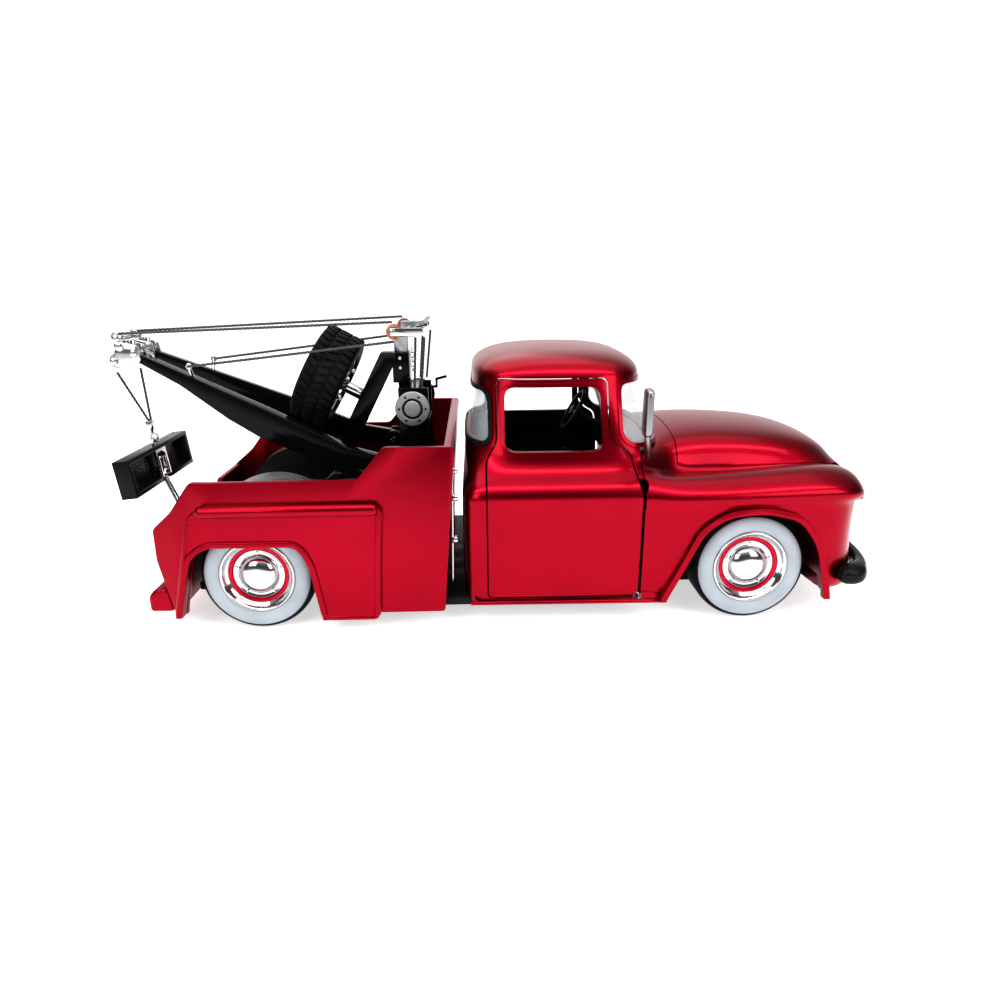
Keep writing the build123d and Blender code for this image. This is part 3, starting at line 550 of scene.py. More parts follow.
# height, rear, front, half width, squareness of the plan
cabLevels = [
    (5.2, 50.6, 99.0, 35.4, 14), (7.0, 50.2, 100.0, 36.2, 14), (12, 50.0, 100.2, 36.7, 14),
    (28.6, 50.0, 100.2, 36.8, 14), (30.2, 50.1, 100.2, 36.8, 14), (31.0, 50.0, 100.2, 37.3, 14),
    (32.6, 50.1, 100.2, 37.5, 14), (34.6, 50.6, 100.2, 36.9, 13), (36.2, 51.4, 100.2, 35.2, 12),
    (37.2, 51.4, 100.2, 33.4, 10), (39.0, 50.8, 100.2, 31.6, 7), (42.0, 50.6, 100.4, 30.6, 4.4),
    (46.0, 51.2, 98.9, 29.8, 4.0), (52.0, 52.1, 96.9, 28.6, 3.9), (57.4, 53.0, 95.1, 27.4, 3.8),
    (59.6, 52.6, 95.6, 27.2, 3.8), (61.4, 53.2, 95.0, 26.2, 3.6), (63.2, 55.4, 92.8, 23.8, 3.3),
    (64.6, 59.4, 89.4, 19.6, 3.0), (65.3, 65.0, 84.0, 13.0, 2.6), (65.6, 71.0, 78.0, 5.5, 2.2),
]
cab = dict(wall=1.3, gap=0.35, glassDepth=0.45, glassThick=0.7, cowl=93.45, hinge=(92.4, 35.6),
           hingeRoom=2.06)
doorOutline = [(56.2, 7.2), (56.2, 40.2), (58.8, 44.5), (58.8, 59.0), (85.0, 59.0), (85.7, 46.0),
               (87.6, 43.4), (90.6, 41.8), (93.1, 32.5), (93.1, 7.2)]
windowOutline = [(60.7, 42.4), (60.7, 57.3), (83.4, 57.3), (84.2, 42.4)]
screenOutline = [(88.4, 58.0), (99.0, 58.0), (106.0, 43.6), (91.4, 43.6), (88.9, 46.0)]
rearGlassOutline = [(44.0, 44.2), (44.0, 56.4), (55.6, 56.4), (56.8, 54.6), (57.0, 45.6), (55.8, 44.2)]
doorShape = filleted(doorOutline, 1.3)
windowShape = filleted(windowOutline, 2.6)
screenShape = filleted(screenOutline, 2.2)
rearGlassShape = filleted(rearGlassOutline, 1.5)


def planLoop(z, rear, front, half, power, count=48):
    # a rounded oblong; a higher power makes it squarer
    middle, reach = (rear + front) / 2, (front - rear) / 2
    points = []
    for angle in turns(count):
        c, s = cos(angle), sin(angle)
        u = (1 if c >= 0 else -1) * abs(c) ** (2 / power)
        v = (1 if s >= 0 else -1) * abs(s) ** (2 / power)
        points.append((middle + reach * u, half * v, z))
    return points


def cabForm(amount):
    # the cab's outside, grown by amount; a shrunk one still reaches below the floor, to leave it open
    loops = []
    for z, rear, front, half, power in cabLevels:
        lift = amount if z > 58 else (4 * amount if z < 6 and amount < 0 else 0)
        loops.append(planLoop(z + lift, rear - amount, front + amount, half + amount, power))
    return lofted(loops, 1)


def cabTrim(outline, inside, outside, low, high, proud=0.3, sides=(-45, 45)):
    # a bead that follows the cab's skin round an outline
    skin = carved(cabForm(proud), ("DIFFERENCE", cabForm(-0.3)))
    ring = carved(prism(widened(outline, outside), *sides),
                  ("DIFFERENCE", prism(widened(outline, inside), -60, 60)))
    return carved(skin, ("INTERSECT", ring), ("INTERSECT", box(40, 110, -50, 50, low, high)))


def hingeRoom(side, radius, low, high):
    # the space that the leading edge of a door turns through
    x, y = cab["hinge"]
    return bar((x, side * y, low), (x, side * y, high), radius, 48)


def makeCab():
    shell = carved(cabForm(0), ("DIFFERENCE", cabForm(-cab["wall"])))
    opening = widened(doorShape, cab["gap"])
    cabShell = carved(shell.copy(), ("DIFFERENCE", prism(opening, -50, -18)),
                      ("DIFFERENCE", prism(opening, 18, 50)),
                      ("DIFFERENCE", box(cab["cowl"], 120, -50, 50, -5, 43.0)),
                      ("DIFFERENCE", prism(screenShape, -50, 50)),
                      ("DIFFERENCE", prism(rearGlassShape, -50, 50)))
    for side in (-1, 1):
        cabShell = carved(cabShell, ("DIFFERENCE", hingeRoom(side, cab["hingeRoom"], 7.0, 43)))
    addPiece(cabShell, "cabShell", "truck", "body_red", ["cab_shell"])
    right = carved(shell, ("INTERSECT", prism(doorShape, -50, -18)),
                   ("DIFFERENCE", prism(windowShape, -60, 0)))
    left = mirroredY(right)
    addPiece(right, "doorRight", "right_door", "body_red", ["door_right"])
    addPiece(left, "doorLeft", "left_door", "body_red", ["door_left"])
    behindGlass = cabForm(-cab["glassDepth"] - cab["glassThick"])
    panes = carved(cabForm(-cab["glassDepth"]), ("DIFFERENCE", behindGlass))
    windscreen = carved(panes.copy(), ("INTERSECT", prism(screenShape, -50, 50)))
    addPiece(windscreen, "windscreenGlass", "truck", "glazing", ["windscreen"])
    rearPane = carved(panes, ("INTERSECT", prism(rearGlassShape, -50, 50)))
    addPiece(rearPane, "rearGlass", "truck", "glazing", ["rear_window"])
    windowBead = cabTrim(windowShape, 0.05, 1.1, 40, 60, 0.28, (-50, 0))
    addPiece(windowBead.copy(), "windowBeadRight", "right_door", "body_red")
    addPiece(mirroredY(windowBead), "windowBeadLeft", "left_door", "body_red")
    windowBead.free()
    addPiece(cabTrim(screenShape, -0.25, 0.75, 40, 62, 0.25), "screenSurround", "truck", "body_red")
    addPiece(cabTrim(rearGlassShape, -0.25, 0.7, 40, 62, 0.25), "rearGlassSurround", "truck", "trim_black")


makeCab()
print("cab made")

# front clip and hood

# x, half width low, at the middle and at the brow, crown (y, z), hood line (y, z), hood shoulder (y, z),
# top z, bottom z
frontRows = [
    (93.5, 36.2, 36.8, 37.5, (34.2, 36.6), (31.6, 38.4), (30.0, 41.0), 42.4, 5.2),
    (97.0, 36.8, 37.2, 37.8, (34.0, 36.4), (29.6, 37.4), (27.0, 41.2), 43.2, 5.2),
    (100.5, 37.2, 37.6, 38.1, (33.4, 36.3), (26.4, 36.2), (23.6, 41.4), 44.4, 5.2),
    (104.0, 37.6, 37.9, 38.3, (32.6, 36.4), (24.6, 35.4), (22.2, 41.6), 45.4, 5.2),
    (111.0, 37.9, 38.1, 38.6, (31.8, 36.8), (24.2, 35.2), (21.8, 41.9), 46.0, 5.4),
    (119.0, 38.0, 38.1, 38.7, (31.4, 37.3), (24.0, 35.4), (21.4, 41.9), 45.9, 5.6),
    (128.0, 38.0, 38.1, 38.7, (31.0, 38.0), (23.6, 35.8), (20.8, 41.5), 45.3, 5.8),
    (135.0, 37.9, 38.0, 38.7, (30.8, 38.4), (23.2, 36.1), (20.0, 40.9), 44.2, 6.0),
    (140.5, 37.6, 37.4, 38.4, (30.4, 38.2), (22.4, 36.2), (18.6, 40.0), 42.7, 6.2),
    (144.4, 36.2, 35.4, 37.4, (29.8, 37.3), (21.2, 36.0), (16.2, 38.8), 40.8, 6.4),
    (147.0, 33.4, 31.4, 35.4, (28.6, 35.8), (19.4, 35.6), (13.0, 37.4), 38.8, 6.6),
    (148.8, 29.4, 27.4, 32.4, (27.0, 33.9), (17.6, 34.8), (10.4, 35.8), 36.8, 7.0),
    (150.4, 24.4, 23.4, 26.6, (22.6, 32.6), (15.4, 33.5), (8.0, 34.2), 34.9, 7.4),
    (151.6, 19.4, 19.0, 20.6, (17.6, 31.2), (12.4, 31.9), (6.0, 32.4), 32.8, 8.0),
]
archOutline = [(99.0, -2), (99.0, 5.2), (104.6, 16.8), (108.0, 24.2), (113.6, 27.9), (122.2, 28.6),
               (130.7, 26.6), (135.4, 20.2), (138.9, 6.8), (138.9, -2)]
hoodPlan = [(103.9, -24.4), (111, -24.0), (119, -23.8), (128, -23.4), (135, -23.0), (140.5, -22.2),
            (144.4, -21.0), (147, -19.2), (149.2, -16.4), (154, -10)]
hood = dict(gap=0.22, edge=34.7, wall=1.3)
clip = dict(back=93.75, lamp=(29.2, 29.6), lampHole=4.3, bayHalf=22.2, archFillet=3.0)


def frontLoop(row, amount):
    # one cross section; heights in the fender's swell are shares of the rise from its waist to its crown
    x, low, mid, brow, crown, line, shoulder, top, bottom = row
    waist = 28.4
    rise = crown[1] - waist
    half = [
        (low, bottom), (low + 0.25, bottom + 4), (mid, 18), (mid, waist), (mid - 0.05, waist + 0.18 * rise),
        (brow, waist + 0.34 * rise), (brow + 0.05, waist + 0.56 * rise),
        (brow * 0.6 + crown[0] * 0.4, waist + 0.82 * rise), crown,
        (line[0] * 0.6 + crown[0] * 0.4, line[1] * 0.5 + crown[1] * 0.5),
        (line[0] + 0.9, line[1] + 0.1), (line[0], line[1] + 0.3),
        (line[0] * 0.7 + shoulder[0] * 0.3, line[1] * 0.6 + shoulder[1] * 0.4), shoulder,
        (shoulder[0] * 0.82, shoulder[1] * 0.45 + top * 0.55),
        (shoulder[0] * 0.45, top - (top - shoulder[1]) * 0.13), (0, top),
    ]
    grown = []
    for y, z in half:
        lift = amount if z > 30 else (5 * amount if z < 9 else 0)
        grown.append((max(0, y + amount * min(1, y / 8)), z + lift))
    points = grown + [(-y, z) for y, z in reversed(grown[:-1])]
    points.append((0, grown[0][1]))
    return [(x, y, z) for y, z in points]


def frontForm(amount):
    # fenders, nose and hood in one; a shrunk one starts behind the cowl and stops short of the nose
    loops = [frontLoop(row, amount) for row in frontRows]
    if amount:
        loops[0] = [(90, y, z) for x, y, z in loops[0]]
        loops = [[(min(x, 151.6 + 1.4 * amount), y, z) for x, y, z in loop] for loop in loops[:-1]]
    return lofted(loops, 2)


def hoodCutter(amount):
    half = [(x - (amount if x < 105 else 0), y - amount) for x, y in hoodPlan]
    return prism(half + [(x, -y) for x, y in reversed(half)], hood["edge"] - amount, 70, "z")


def makeFront():
    cover = carved(frontForm(0), ("INTERSECT", hoodCutter(-hood["gap"])))
    cover = carved(cover, ("DIFFERENCE", frontForm(-hood["wall"])))
    addPiece(cover, "hood", "bonnet", "body_red", ["hood"])
    arch = filleted(archOutline, clip["archFillet"])
    lampY, lampZ = clip["lamp"]
    bay = clip["bayHalf"]
    openings = [
        hoodCutter(0), prism(arch, -45, -23), prism(arch, 23, 45),
        box(80, clip["back"], -50, 50, -5, 60),
        box(145, 156, -18.6, 18.6, 14.4, 30.6),  # grille
        bar((142.5, -lampY, lampZ), (156, -lampY, lampZ), clip["lampHole"], 40),
        bar((142.5, lampY, lampZ), (156, lampY, lampZ), clip["lampHole"], 40),
        box(99, 104.2, -bay, bay, -5, 36), box(104.2, 147, -bay, bay, -5, 60),
        box(90, 99.4, -34.8, 34.8, -5, 12), box(99.2, 140, -36.2, 36.2, -5, 12),
        hingeRoom(-1, 1.5, -5, 30), hingeRoom(1, 1.5, -5, 30),
        hingeRoom(-1, cab["hingeRoom"], 29.8, 43), hingeRoom(1, cab["hingeRoom"], 29.8, 43),
    ]
    body = frontForm(0)
    for opening in openings:
        body = carved(body, ("DIFFERENCE", opening))
    addPiece(body, "frontClip", "truck", "body_red", ["front_clip"])
    lip = carved(prism(widened(arch, 1.5), -39.2, -37.2), ("DIFFERENCE", prism(arch, -60, 0)),
                 ("DIFFERENCE", box(80, 160, -50, 0, -5, 6.3)))
    addPiece(bothSides(softened(lip, 0.5, 3, 50)), "archLips", "truck", "body_red")
    sill = softened(bar((51.6, -36.0, 5.8), (99.2, -36.7, 5.8), 0.55, 16), 0.3, 2, 60)
    corner = box(94.1, 98.9, -36.5, -33.0, 5.4, 8.2)
    addPiece(bothSides(joined(sill, corner)), "sillBeads", "truck", "body_red")
    walls = joined(box(99, 146.5, -bay - 1, -bay, 8, 34.6), box(99, 146.5, bay, bay + 1, 8, 34.6),
                   box(97.8, 99, -24, 24, 8, 36), box(143.4, 144.2, -22, 22, 8, 33.4))
    addPiece(softened(walls, 0.2, 2), "engineBayWalls", "truck", "trim_black")


makeFront()
print("front clip and hood made")

# tow bed

bed = dict(half=37.0, edge=0.55, flareHalf=38.9, flareEdge=1.5, lip=0.5)
bedOutline = [(-21.4, 4.3), (-24.2, 18), (-24.0, 26.0), (-18.8, 30.4), (-13.1, 37.8), (25.9, 38.1),
              (32.3, 45.6), (48.6, 45.5), (45.4, 4.3)]
bedTaper = [(-26, -33.8), (-18, -35.6), (-9, -37), (52, -37), (52, 37), (-9, 37), (-18, 35.6), (-26, 33.8)]
bedHollow = [(-25, -32.3), (-17.6, -34.1), (-8.6, -35.5), (50, -35.5), (50, 35.5), (-8.6, 35.5),
             (-17.6, 34.1), (-25, 32.3)]
wheelArch = [(-18.4, -2), (-18.4, 4.6), (-14.2, 20.0), (-10.3, 22.6), (10.8, 22.5), (13.2, 18.2), (15.6, 3.2),
             (15.6, -2)]
flareOutline = [(-20.2, 4.6), (-13.9, 30.2), (-10.6, 32.7), (29.7, 32.7), (31.6, 31.0), (29.4, 3.2), (4, 3.2)]
rollPanOutline = [(-27.9, 4.3), (-27.9, 8.4), (-26.2, 10.2), (-22.9, 10.2), (-22.0, 4.3)]
# raised edges of the flares: from x and z, to x and z, radius
flareTubes = [(-11.6, 31.3, 30.6, 31.3, 1.5), (30.6, 30.6, 28.9, 4.2, 0.8), (-13.6, 29.0, -19.3, 6.0, 0.65),
              (16.6, 3.9, 28.6, 3.9, 0.6)]


def makeBed():
    tub = carved(prism(filleted(bedOutline, 1.0), -bed["half"], bed["half"]),
                 ("INTERSECT", prism(bedTaper, 0, 60, "z")))
    inside = carved(prism([(-22.4, 18.8), (-22.4, 60), (47.0, 60), (44.9, 18.8)], -36, 36),
                    ("INTERSECT", prism(bedHollow, 0, 70, "z")))
    below = carved(prism([(-19.8, -2), (-22.4, 17.2), (44.8, 17.2), (43.8, -2)], -50, 50),
                   ("INTERSECT", prism(bedHollow, -5, 70, "z")))
    tail = prism([(-30, 26.2), (-30, 60), (-14.6, 60), (-14.6, 39.6), (-22.0, 26.2)], -31, 31)
    arch = filleted(wheelArch, 2.2)
    for opening in (inside, below, tail, box(-30, -20, -13, 13, 22.4, 40), prism(arch, -50, 50),
                    box(43, 50, -34.4, 34.4, 0, 7), box(-17, 21, -35.4, -15.4, 17, 19),
                    box(-17, 21, 15.4, 35.4, 17, 19)):
        tub = carved(tub, ("DIFFERENCE", opening))
    addPiece(softened(tub, bed["edge"], 3, 35), "bedTub", "truck", "body_red", ["tow_bed"])

    flare = carved(prism(filleted(flareOutline, 1.6), -bed["flareHalf"], -36.2),
                   ("DIFFERENCE", prism(arch, -60, 60)))
    addPiece(bothSides(softened(flare, bed["flareEdge"], 5, 35)), "bedFlares", "truck", "body_red")
    tubes = [softened(bar((x0, -38.5, z0), (x1, -38.5, z1), radius, 24), radius * 0.8, 4, 60)
             for x0, z0, x1, z1, radius in flareTubes]
    addPiece(bothSides(joined(*tubes)), "flareTubes", "truck", "body_red")
    lip = carved(prism(widened(arch, 1.5), -bed["flareHalf"] - bed["lip"], -38.1),
                 ("DIFFERENCE", prism(arch, -60, 60)), ("DIFFERENCE", box(-30, 40, -60, 60, -5, 4.7)))
    addPiece(bothSides(softened(lip, 0.45, 3, 50)), "rearArchLips", "truck", "body_red")
    rollPan = prism(filleted(rollPanOutline, 1.0), -34, 34)
    addPiece(softened(rollPan, 0.8, 3, 35), "rollPan", "truck", "body_red")
    post = joined(bar((47.2, -30, 9), (48.0, -30, 43.0), 0.55, 16),
                  bar((47.4, -30, 20.6), (48.8, -30, 20.6), 0.9, 16),
                  bar((47.6, -30, 31.4), (49.0, -30, 31.4), 0.9, 16),
                  bar((47.9, -30, 38.2), (49.2, -30, 38.2), 0.8, 16))
    addPiece(softened(post, 0.12, 2, 40), "gapRod", "truck", "chrome")


makeBed()
print("tow bed made")

# wheels

wheels = dict(rear=0, front=120.7, height=14.0, steps=96)
# profiles as radius, and distance from the truck's middle
whitewall = [(9.1, 35.0), (9.15, 35.9), (9.5, 36.22), (10.2, 36.42), (11.1, 36.5), (11.9, 36.4),
             (12.5, 36.12), (12.8, 35.75), (12.8, 35.0)]
tyreSkin = [(9.0, 25.4), (10.4, 24.95), (11.8, 24.8), (12.8, 25.1), (13.6, 25.8), (13.95, 26.6), (14.0, 27.6),
            (14.0, 33.3), (13.9, 34.3), (13.6, 35.1), (13.15, 35.6), (12.85, 35.74), (12.75, 35.3),
            (12.7, 34.9), (9.0, 34.9)]
trimRing = [(7.25, 33.2), (8.2, 33.2), (9.05, 33.8), (9.14, 36.0), (9.0, 36.25), (8.75, 36.3), (8.5, 36.1),
            (8.2, 35.5), (7.75, 35.0), (7.4, 34.75), (7.25, 34.5)]
redRing = [(6.3, 33.0), (6.3, 34.0), (6.5, 34.35), (6.85, 34.5), (7.15, 34.5), (7.3, 34.3), (8.2, 33.3),
           (9.0, 32.7), (9.0, 25.6), (8.4, 25.6), (7.4, 31.4), (2.4, 31.6), (2.4, 29.0), (0.6, 29.0),
           (0.6, 32.6)]
hubCap = [(0.05, 33.0), (6.35, 33.0), (6.45, 33.9), (6.2, 34.25), (5.75, 34.1), (5.3, 33.95), (5.0, 34.0),
          (4.75, 34.35), (4.3, 34.95), (3.6, 35.55), (2.7, 35.95), (1.7, 36.15), (0.8, 36.2), (0.05, 36.2)]


def makeWheels():
    rings = ((whitewall, "Whitewalls", "whitewall", "_whitewalls"), (tyreSkin, "Tyres", "tyre", "_tyres"),
             (redRing, "WheelRings", "wheel_red", "_wheels"))
    axis, steps = (0, -1, 0), wheels["steps"]
    for label in ("rear", "front"):
        body, centre = label + "_wheelset", (wheels[label], 0, wheels["height"])
        for profile, kind, slotName, node in rings:
            ring = spun(profile, centre, axis, steps)
            addPiece(bothSides(ring), label + kind, body, slotName, [label + node])
        trims = joined(spun(trimRing, centre, axis, steps), spun(hubCap, centre, axis, steps))
        addPiece(bothSides(trims), label + "Trims", body, "chrome", [label + "_wheel_trims"], 50)


makeWheels()
print("wheels made")

# spare wheel

spare = dict(centre=(14.0, 0, 57.2), lean=61.5, radius=13.2, tread=0.65, rows=(-3.3, 0.0, 3.3), blocks=38,
             block=(0.5, 0.72, 1.35), skew=0.35)


def makeSpare():
    lean = radians(spare["lean"])
    axis = Vector((sin(lean), 0, -cos(lean)))
    centre = Vector(spare["centre"])
    groundRadius = spare["radius"] - spare["tread"]
    skin = [(8.2, -4.6), (8.8, -5.05), (9.6, -5.25), (11.2, -5.25), (12.0, -5.0), (groundRadius, -4.2),
            (groundRadius, 4.2), (12.0, 5.0), (11.2, 5.25), (9.6, 5.25), (8.8, 5.05), (8.2, 4.6)]
    tyre = spun(skin, centre, axis, 96)
    deep, wide, long = spare["block"]
    lugs = []
    side = Vector((0, 1, 0))
    for row, along in enumerate(spare["rows"]):
        skew = spare["skew"] if row % 2 else -spare["skew"]
        for index in range(spare["blocks"]):
            turn = 2 * pi * (index + 0.5 * (row % 2)) / spare["blocks"]
            outward = (side * cos(turn) + axis.cross(side) * sin(turn)).normalized()
            around = axis.cross(outward)
            across, length = (around + axis * skew).normalized(), (axis - around * skew).normalized()
            place = Matrix((outward, across, length)).transposed().to_4x4()
            place.translation = centre + outward * (groundRadius + 0.02) + axis * along
            lug = box(-deep, deep, -wide, wide, -long, long)
            bmesh.ops.transform(lug, matrix=place, verts=lug.verts)
            lugs.append(lug)
    addPiece(joined(tyre, softened(joined(*lugs), 0.14, 2, 40)), "spareTyre", "truck", "tyre", ["spare_tyre"])


makeSpare()
print("spare made")

# bumper, lamps and mirrors

# across, rear x, front x, half height
bumperRows = [(40.5, 143.4, 146.0, 0.9), (39.9, 142.0, 148.0, 2.0), (38.2, 141.7, 149.3, 2.6),
              (36.0, 142.4, 150.3, 2.7), (34.4, 146.6, 151.1, 2.4), (31.0, 149.2, 152.3, 2.3),
              (24.0, 151.2, 153.8, 2.3), (14.0, 152.4, 154.6, 2.3)]
bumper = dict(height=12.3, sides=16, squareness=0.8)
mirror = dict(across=38.3, half=2.5, low=47.4, high=58.4, back=91.8, face=93.5)
# headlight profiles as radius and x
bezel = [(3.35, 145.2), (4.25, 145.2), (4.28, 147.4), (4.1, 148.0), (3.8, 148.25), (3.5, 148.1),
         (3.35, 147.6)]
lens = [(0.02, 146.2), (3.4, 146.2), (3.4, 147.0), (3.1, 147.5), (2.4, 147.95), (1.4, 148.2), (0.02, 148.3)]


def squared(value):
    return abs(value) ** bumper["squareness"] * (1 if value > 0 else -1)


def bumperLoop(y, rear, front, half):
    middle, reach = (rear + front) / 2, (front - rear) / 2
    return [(middle + reach * squared(cos(angle)), y, bumper["height"] + half * squared(sin(angle)))
            for angle in turns(bumper["sides"])]


def makeTrim():
    rows = [bumperLoop(-y, rear, front, half) for y, rear, front, half in bumperRows]
    rows.append(bumperLoop(0, 152.7, 154.95, 2.5))
    rows += [bumperLoop(y, rear, front, half) for y, rear, front, half in reversed(bumperRows)]
    addPiece(lofted(rows, 1, ()), "bumperBar", "truck", "bumper_black", ["front_bumper"], 60)
    lampY, lampZ = clip["lamp"]
    for profile, name, slotName, node in ((bezel, "lampRings", "chrome", "headlight_bezels"),
                                          (lens, "lampLenses", "lamp_glass", "front_lamp_lenses")):
        lamp = spun(profile, (0, -lampY, lampZ), (1, 0, 0), 48)
        addPiece(bothSides(lamp), name, "truck", slotName, [node], 60)
    low, high, half = mirror["low"], mirror["high"], mirror["half"]
    outline = filleted([(-half, low), (-half, high), (half, high), (half, low)], 2.0)
    paddle = prism(outline, mirror["back"], mirror["face"], "x")
    bmesh.ops.translate(paddle, vec=(0, -mirror["across"], 0), verts=paddle.verts)
    softened(paddle, 0.65, 4, 40)
    arm = joined(bar((95.0, -31.6, 41.0), (93.1, -36.8, 47.6), 0.95, 20, 0.7),
                 bar((93.1, -36.8, 47.2), (92.6, -37.6, 51.0), 0.7, 20))
    addPiece(bothSides(joined(paddle, softened(arm, 0.15, 2, 40))), "doorMirrors", "truck", "chrome",
             ["wing_mirrors"], finish=finishes["steel"])


makeTrim()
print("bumper, lamps and mirrors made")

# cabin lining

lining = dict(depth=1.34, back=1.9, piping=0.42, seams=((57.9, 42.4), (75.4, 22.6)))


def makeLining():
    skin = carved(cabForm(-lining["depth"]), ("DIFFERENCE", cabForm(-lining["back"])))
    card = carved(skin.copy(), ("INTERSECT", prism(widened(doorShape, -0.5), -50, -15)),
                  ("DIFFERENCE", prism(windowShape, -60, 0)))
    addPiece(card.copy(), "doorCardRight", "right_door", "trim_black")
    addPiece(mirroredY(card), "doorCardLeft", "left_door", "trim_black")
    card.free()
    doorway = widened(doorShape, 0.6)
    for opening in (prism(doorway, -50, -15), prism(doorway, 15, 50), box(93.0, 120, -50, 50, -5, 43.2),
                    prism(screenShape, -50, 50), prism(rearGlassShape, -50, 50),
                    box(40, 120, -50, 50, -5, 8.4)):
        skin = carved(skin, ("DIFFERENCE", opening))
    addPiece(skin, "cabLining", "truck", "trim_black")
    seam = joined(*(bar((x, -26, z), (x, 26, z), lining["piping"], 12) for x, z in lining["seams"]))
    addPiece(seam, "seatPiping", "truck", "engine_grey")


makeLining()
print("cabin lined")

# ropes

rope = dict(radius=0.35, strands=3, lay=0.0034, sides=6, stepsPerLay=10)
# tip end first; y is given for the left side
toppingLines = {
    "high": [(-37.5, 5.4, 69.4), (-2.0, 9.8, 70.6), (33.6, 14.2, 71.95)],
    "low": [(-19.0, 9.6, 61.4), (7.4, 11.9, 64.25), (33.8, 14.2, 67.25)],
}
winchRuns = [((41.4, 14.2, 68.2), (40.0, 11.2, 55.3)), ((39.2, 14.2, 68.2), (38.2, 11.2, 55.3))]
hoistRuns = [((-39.6, -4.6, 59.6), (-35.2, -0.7, 46.1)), ((-37.4, 4.6, 59.6), (-35.2, 0.7, 46.1))]


def ropeRoute(points, side=1):
    # the points that the route's own spline passes through
    curve = bpy.data.curves.new("route", "CURVE")
    curve.dimensions, curve.resolution_u = "3D", 40
    spline = curve.splines.new("NURBS")
    spline.points.add(len(points) - 1)
    for point, (x, y, z) in zip(spline.points, points):
        point.co = (*(toFrame @ Vector((x, side * y, z))), 1)
    spline.order_u = 3
    spline.use_endpoint_u = True
    item = bpy.data.objects.new("route", curve)
    bpy.context.collection.objects.link(item)
    mesh = bpy.data.meshes.new_from_object(item.evaluated_get(bpy.context.evaluated_depsgraph_get()))
    route = [vert.co.copy() for vert in mesh.vertices]
    bpy.data.meshes.remove(mesh)
    bpy.data.objects.remove(item)
    return route


def routeLength(route):
    return sum((b - a).length for a, b in zip(route, route[1:]))


def twistedTube(route):
    # strands that wind round the route
    bm = bmesh.new()
    count = int(routeLength(route) / rope["lay"] * rope["stepsPerLay"])
    along = (route[-1] - route[0]).normalized()
    aside = along.orthogonal().normalized()
    over = along.cross(aside)
    radius, offset = rope["radius"] * mm * 0.58, rope["radius"] * mm * 0.44
    for strand in range(rope["strands"]):
        rings = []
        for step in range(count + 1):
            share = step / count * (len(route) - 1)
            index = min(int(share), len(route) - 2)
            base = route[index].lerp(route[index + 1], share - index)
            turn = 2 * pi * (step / rope["stepsPerLay"] + strand / rope["strands"])
            core = base + (aside * cos(turn) + over * sin(turn)) * offset
            rings.append([bm.verts.new(core + (aside * cos(angle) + over * sin(angle)) * radius)
                          for angle in turns(rope["sides"])])
        for one, two in zip(rings, rings[1:]):
            for corner in range(rope["sides"]):
                following = (corner + 1) % rope["sides"]
                bm.faces.new((one[corner], one[following], two[following], two[corner]))
        bm.faces.new(list(reversed(rings[0])))
        bm.faces.new(rings[-1])
    bmesh.ops.recalc_face_normals(bm, faces=bm.faces)
    bmesh.ops.transform(bm, matrix=toFrame.inverted(), verts=bm.verts)
    return bm


def straightRope(one, two, side=1):
    middle = tuple((a + b) / 2 for a, b in zip(one, two))
    return twistedTube(ropeRoute([one, middle, two], side))


def makeRopes():
    for line, points in toppingLines.items():
        for side, word in ((-1, "Right"), (1, "Left")):
            route = ropeRoute(points, side)
            tube = addPiece(twistedTube(route), line + "Line" + word, None, "rope")
            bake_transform(tube)
            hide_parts("topping_ropes")
    madeNodes.add("topping_ropes")
    winchLines = [straightRope(one, two, side) for one, two in winchRuns for side in (-1, 1)]
    addPiece(joined(*winchLines), "winchLines", "truck", "rope", ["winch_ropes"])
    hoistLines = [straightRope(one, two) for one, two in hoistRuns]
    addPiece(joined(*hoistLines), "hoistLines", "sling", "rope", ["hoist_ropes"])


makeRopes()
print("ropes made")

# crane fittings

# cross pins of the boom tips: x, z, radius, half length
tipPins = [(-38.8, 62.6, 0.6, 7.4), (-36.9, 66.3, 0.75, 7.3), (-33.4, 64.6, 0.6, 7.5),
           (-37.8, 68.2, 0.7, 6.2)]
tipCheek = [(-38.6, 64.2), (-37.4, 67.6), (-32.4, 66.6), (-31.8, 62.6), (-35.6, 60.8), (-39.2, 61.4)]
# winch profiles as radius, and distance from the truck's middle
winchDisc = [(0.02, 12.9), (4.2, 12.9), (4.45, 13.1), (4.45, 13.7), (4.2, 13.95), (2.75, 13.95), (2.6, 13.8),
             (2.2, 13.8), (2.1, 14.0), (1.9, 14.15), (0.02, 14.15)]
winchDrum = [(0.02, 5.0), (1.4, 5.0), (1.5, 5.2), (1.5, 6.3), (1.0, 6.4), (1.0, 8.6), (3.7, 8.6), (3.9, 8.8),
             (3.9, 9.3), (3.7, 9.4), (2.6, 9.4), (2.6, 12.9), (0.02, 12.9)]
winchSeal = [(2.15, 13.75), (2.65, 13.75), (2.6, 13.9), (2.2, 13.9)]
winch = dict(x=37.6, z=50.4, studCircle=3.4, studs=6)
chain = dict(place=(37.7, -8.0, 64.6), pitch=1.15, links=5, stretch=0.3, radius=0.42, wire=0.15)
wheelNuts = dict(circle=5.6, count=5, firstTurn=0.3)


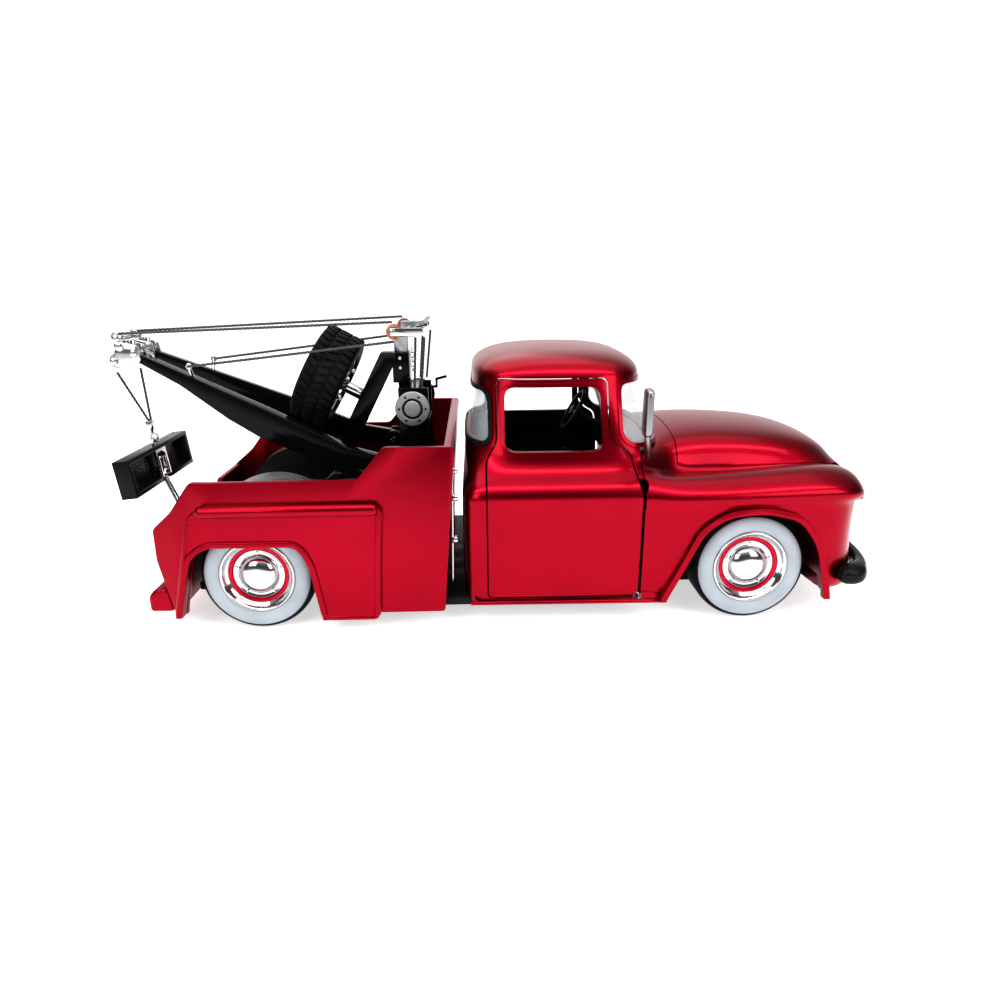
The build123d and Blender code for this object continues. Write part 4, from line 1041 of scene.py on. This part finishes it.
def makeTip():
    # chrome cheeks, cross pins and rope eyes that tie the boom tips together
    cheek = filleted(tipCheek, 0.9)
    parts = [softened(prism(cheek, y - 0.35, y + 0.35), 0.2, 2, 40) for y in (-6.7, 6.7, -2.4, 2.4)]
    for x, z, radius, reach in tipPins:
        parts.append(softened(bar((x, -reach, z), (x, reach, z), radius, 20), 0.15, 2, 40))
        for y, step in ((-reach + 0.3, -0.5), (reach - 0.3, 0.5)):
            parts.append(softened(bar((x, y, z), (x, y + step, z), radius * 1.6, 6), 0.12, 2, 40))
    for side in (-1, 1):
        parts.append(wireRing((-37.9, side * 5.4, 68.6), (0, 1, 0), 0.95, 0.34, 10, 28))
        parts.append(softened(box(-37.4, -36.0, side * 5.4 - 0.7, side * 5.4 + 0.7, 67.0, 69.0), 0.25, 2, 40))
        parts.append(softened(bar((-34.6, side * 4.7, 65.2), (-34.6, side * 4.7, 67.8), 1.1, 6), 0.2, 2, 40))
        # eye that the lower line is tied to
        stalk = bar((-19, side * 7.4, 57.4), (-19, side * 9.4, 61.0), 0.6, 20, 0.45)
        parts.append(softened(stalk, 0.12, 2, 40))
        parts.append(wireRing((-19, side * 9.6, 61.4), (0, 1, 0), 0.6, 0.26, 8, 20))
    addPiece(joined(*parts), "boomTipFittings", "booms", "chrome", ["boom_tip_head"])


def makeWinches():
    centre = (winch["x"], 0, winch["z"])
    for side, word, face in ((-1, "right", "winch_silver"), (1, "left", "crane_black")):
        axis, body = (0, side, 0), word + "_winch"
        addPiece(spun(winchDisc, centre, axis, 64), word + "WinchDisc", body, face, ["winch_drum_" + word])
        addPiece(spun(winchDrum, centre, axis, 48), word + "WinchDrum", body, "crane_black")
        studs = []
        for angle in turns(winch["studs"]):
            x = winch["x"] + winch["studCircle"] * cos(angle)
            z = winch["z"] + winch["studCircle"] * sin(angle)
            studs.append(bar((x, side * 13.9, z), (x, side * 14.15, z), 0.3, 12))
        addPiece(joined(spun(winchSeal, centre, axis, 48), *studs), word + "WinchSeal", body, "crane_black")


def chainLink(place, turned):
    link = wireRing((0, 0, 0), (1, 0, 0), chain["radius"], chain["wire"], 8, 16)
    for vert in link.verts:
        vert.co.z += chain["stretch"] * (1 if vert.co.z > 0 else -1)
    if turned:
        bmesh.ops.rotate(link, cent=(0, 0, 0), matrix=Matrix.Rotation(pi / 2, 3, "Z"), verts=link.verts)
    bmesh.ops.translate(link, vec=place, verts=link.verts)
    return link


def makeMast():
    rivets = [bar((34.1, -3.6, z), (34.1, -4.15, z), 0.62, 20, 0.4) for z in (59.7, 62.2)]
    rivets += [bar((40.4, side * 8.4, 50.4), (40.4, side * 8.9, 50.4), 0.5, 16, 0.35) for side in (-1, 1)]
    addPiece(joined(*rivets), "mastRivets", "truck", "chrome")
    x, y, z = chain["place"]
    links = [chainLink((x, y, z - chain["pitch"] * index), index % 2) for index in range(chain["links"])]
    addPiece(joined(*links), "mastChain", "truck", "chrome")
    lever = joined(bar((42.3, 14.0, 54.4), (45.6, 14.0, 55.2), 0.4, 14),
                   bar((42.6, 14.0, 52.2), (42.6, 14.0, 54.6), 0.35, 14),
                   bar((39.2, 13.2, 52.2), (42.9, 13.6, 52.4), 0.4, 14))
    addPiece(softened(lever, 0.08, 2, 40), "winchLever", "truck", "crane_black")
    softNode("winch_frame", finish=finishes["crane_black"])


def makeWheelNuts():
    for label in ("rear", "front"):
        nuts = []
        for side in (-1, 1):
            for angle in turns(wheelNuts["count"], wheelNuts["firstTurn"]):
                x = wheels[label] + wheelNuts["circle"] * cos(angle)
                z = wheels["height"] + wheelNuts["circle"] * sin(angle)
                nuts.append(bar((x, side * 33.8, z), (x, side * 34.35, z), 0.34, 6, 0.28))
        addPiece(joined(*nuts), label + "WheelNuts", label + "_wheelset", "chrome")


makeTip()
makeWinches()
makeMast()
makeWheelNuts()
print("fittings made")

# everything else keeps its modelled form, with softened edges

edgeWidth = dict(boom=0.35, other=0.18)

for name in sorted(frame["nodes"]):
    if name not in madeNodes:
        softNode(name, edgeWidth["boom" if name.startswith("boom_") else "other"])
print("remaining parts softened")

# floor

floorMesh = bpy.data.meshes.new("floor")
floorBm = bmesh.new()
bmesh.ops.create_grid(floorBm, x_segments=1, y_segments=1, size=6)
floorBm.to_mesh(floorMesh)
floorBm.free()
floorFinish = Finish("floorSheet", (0.9, 0.9, 0.9), 0.0, 0.6, Emission_Color=(1, 1, 1, 1),
                     Emission_Strength=0.5)
floorFinish.blendColours(floorFinish.noise(1.5, 2), (0.93, 0.93, 0.93), (0.95, 0.95, 0.95))
floorMesh.materials.append(floorFinish.material)
floor = bpy.data.objects.new("floor", floorMesh)
bpy.context.collection.objects.link(floor)
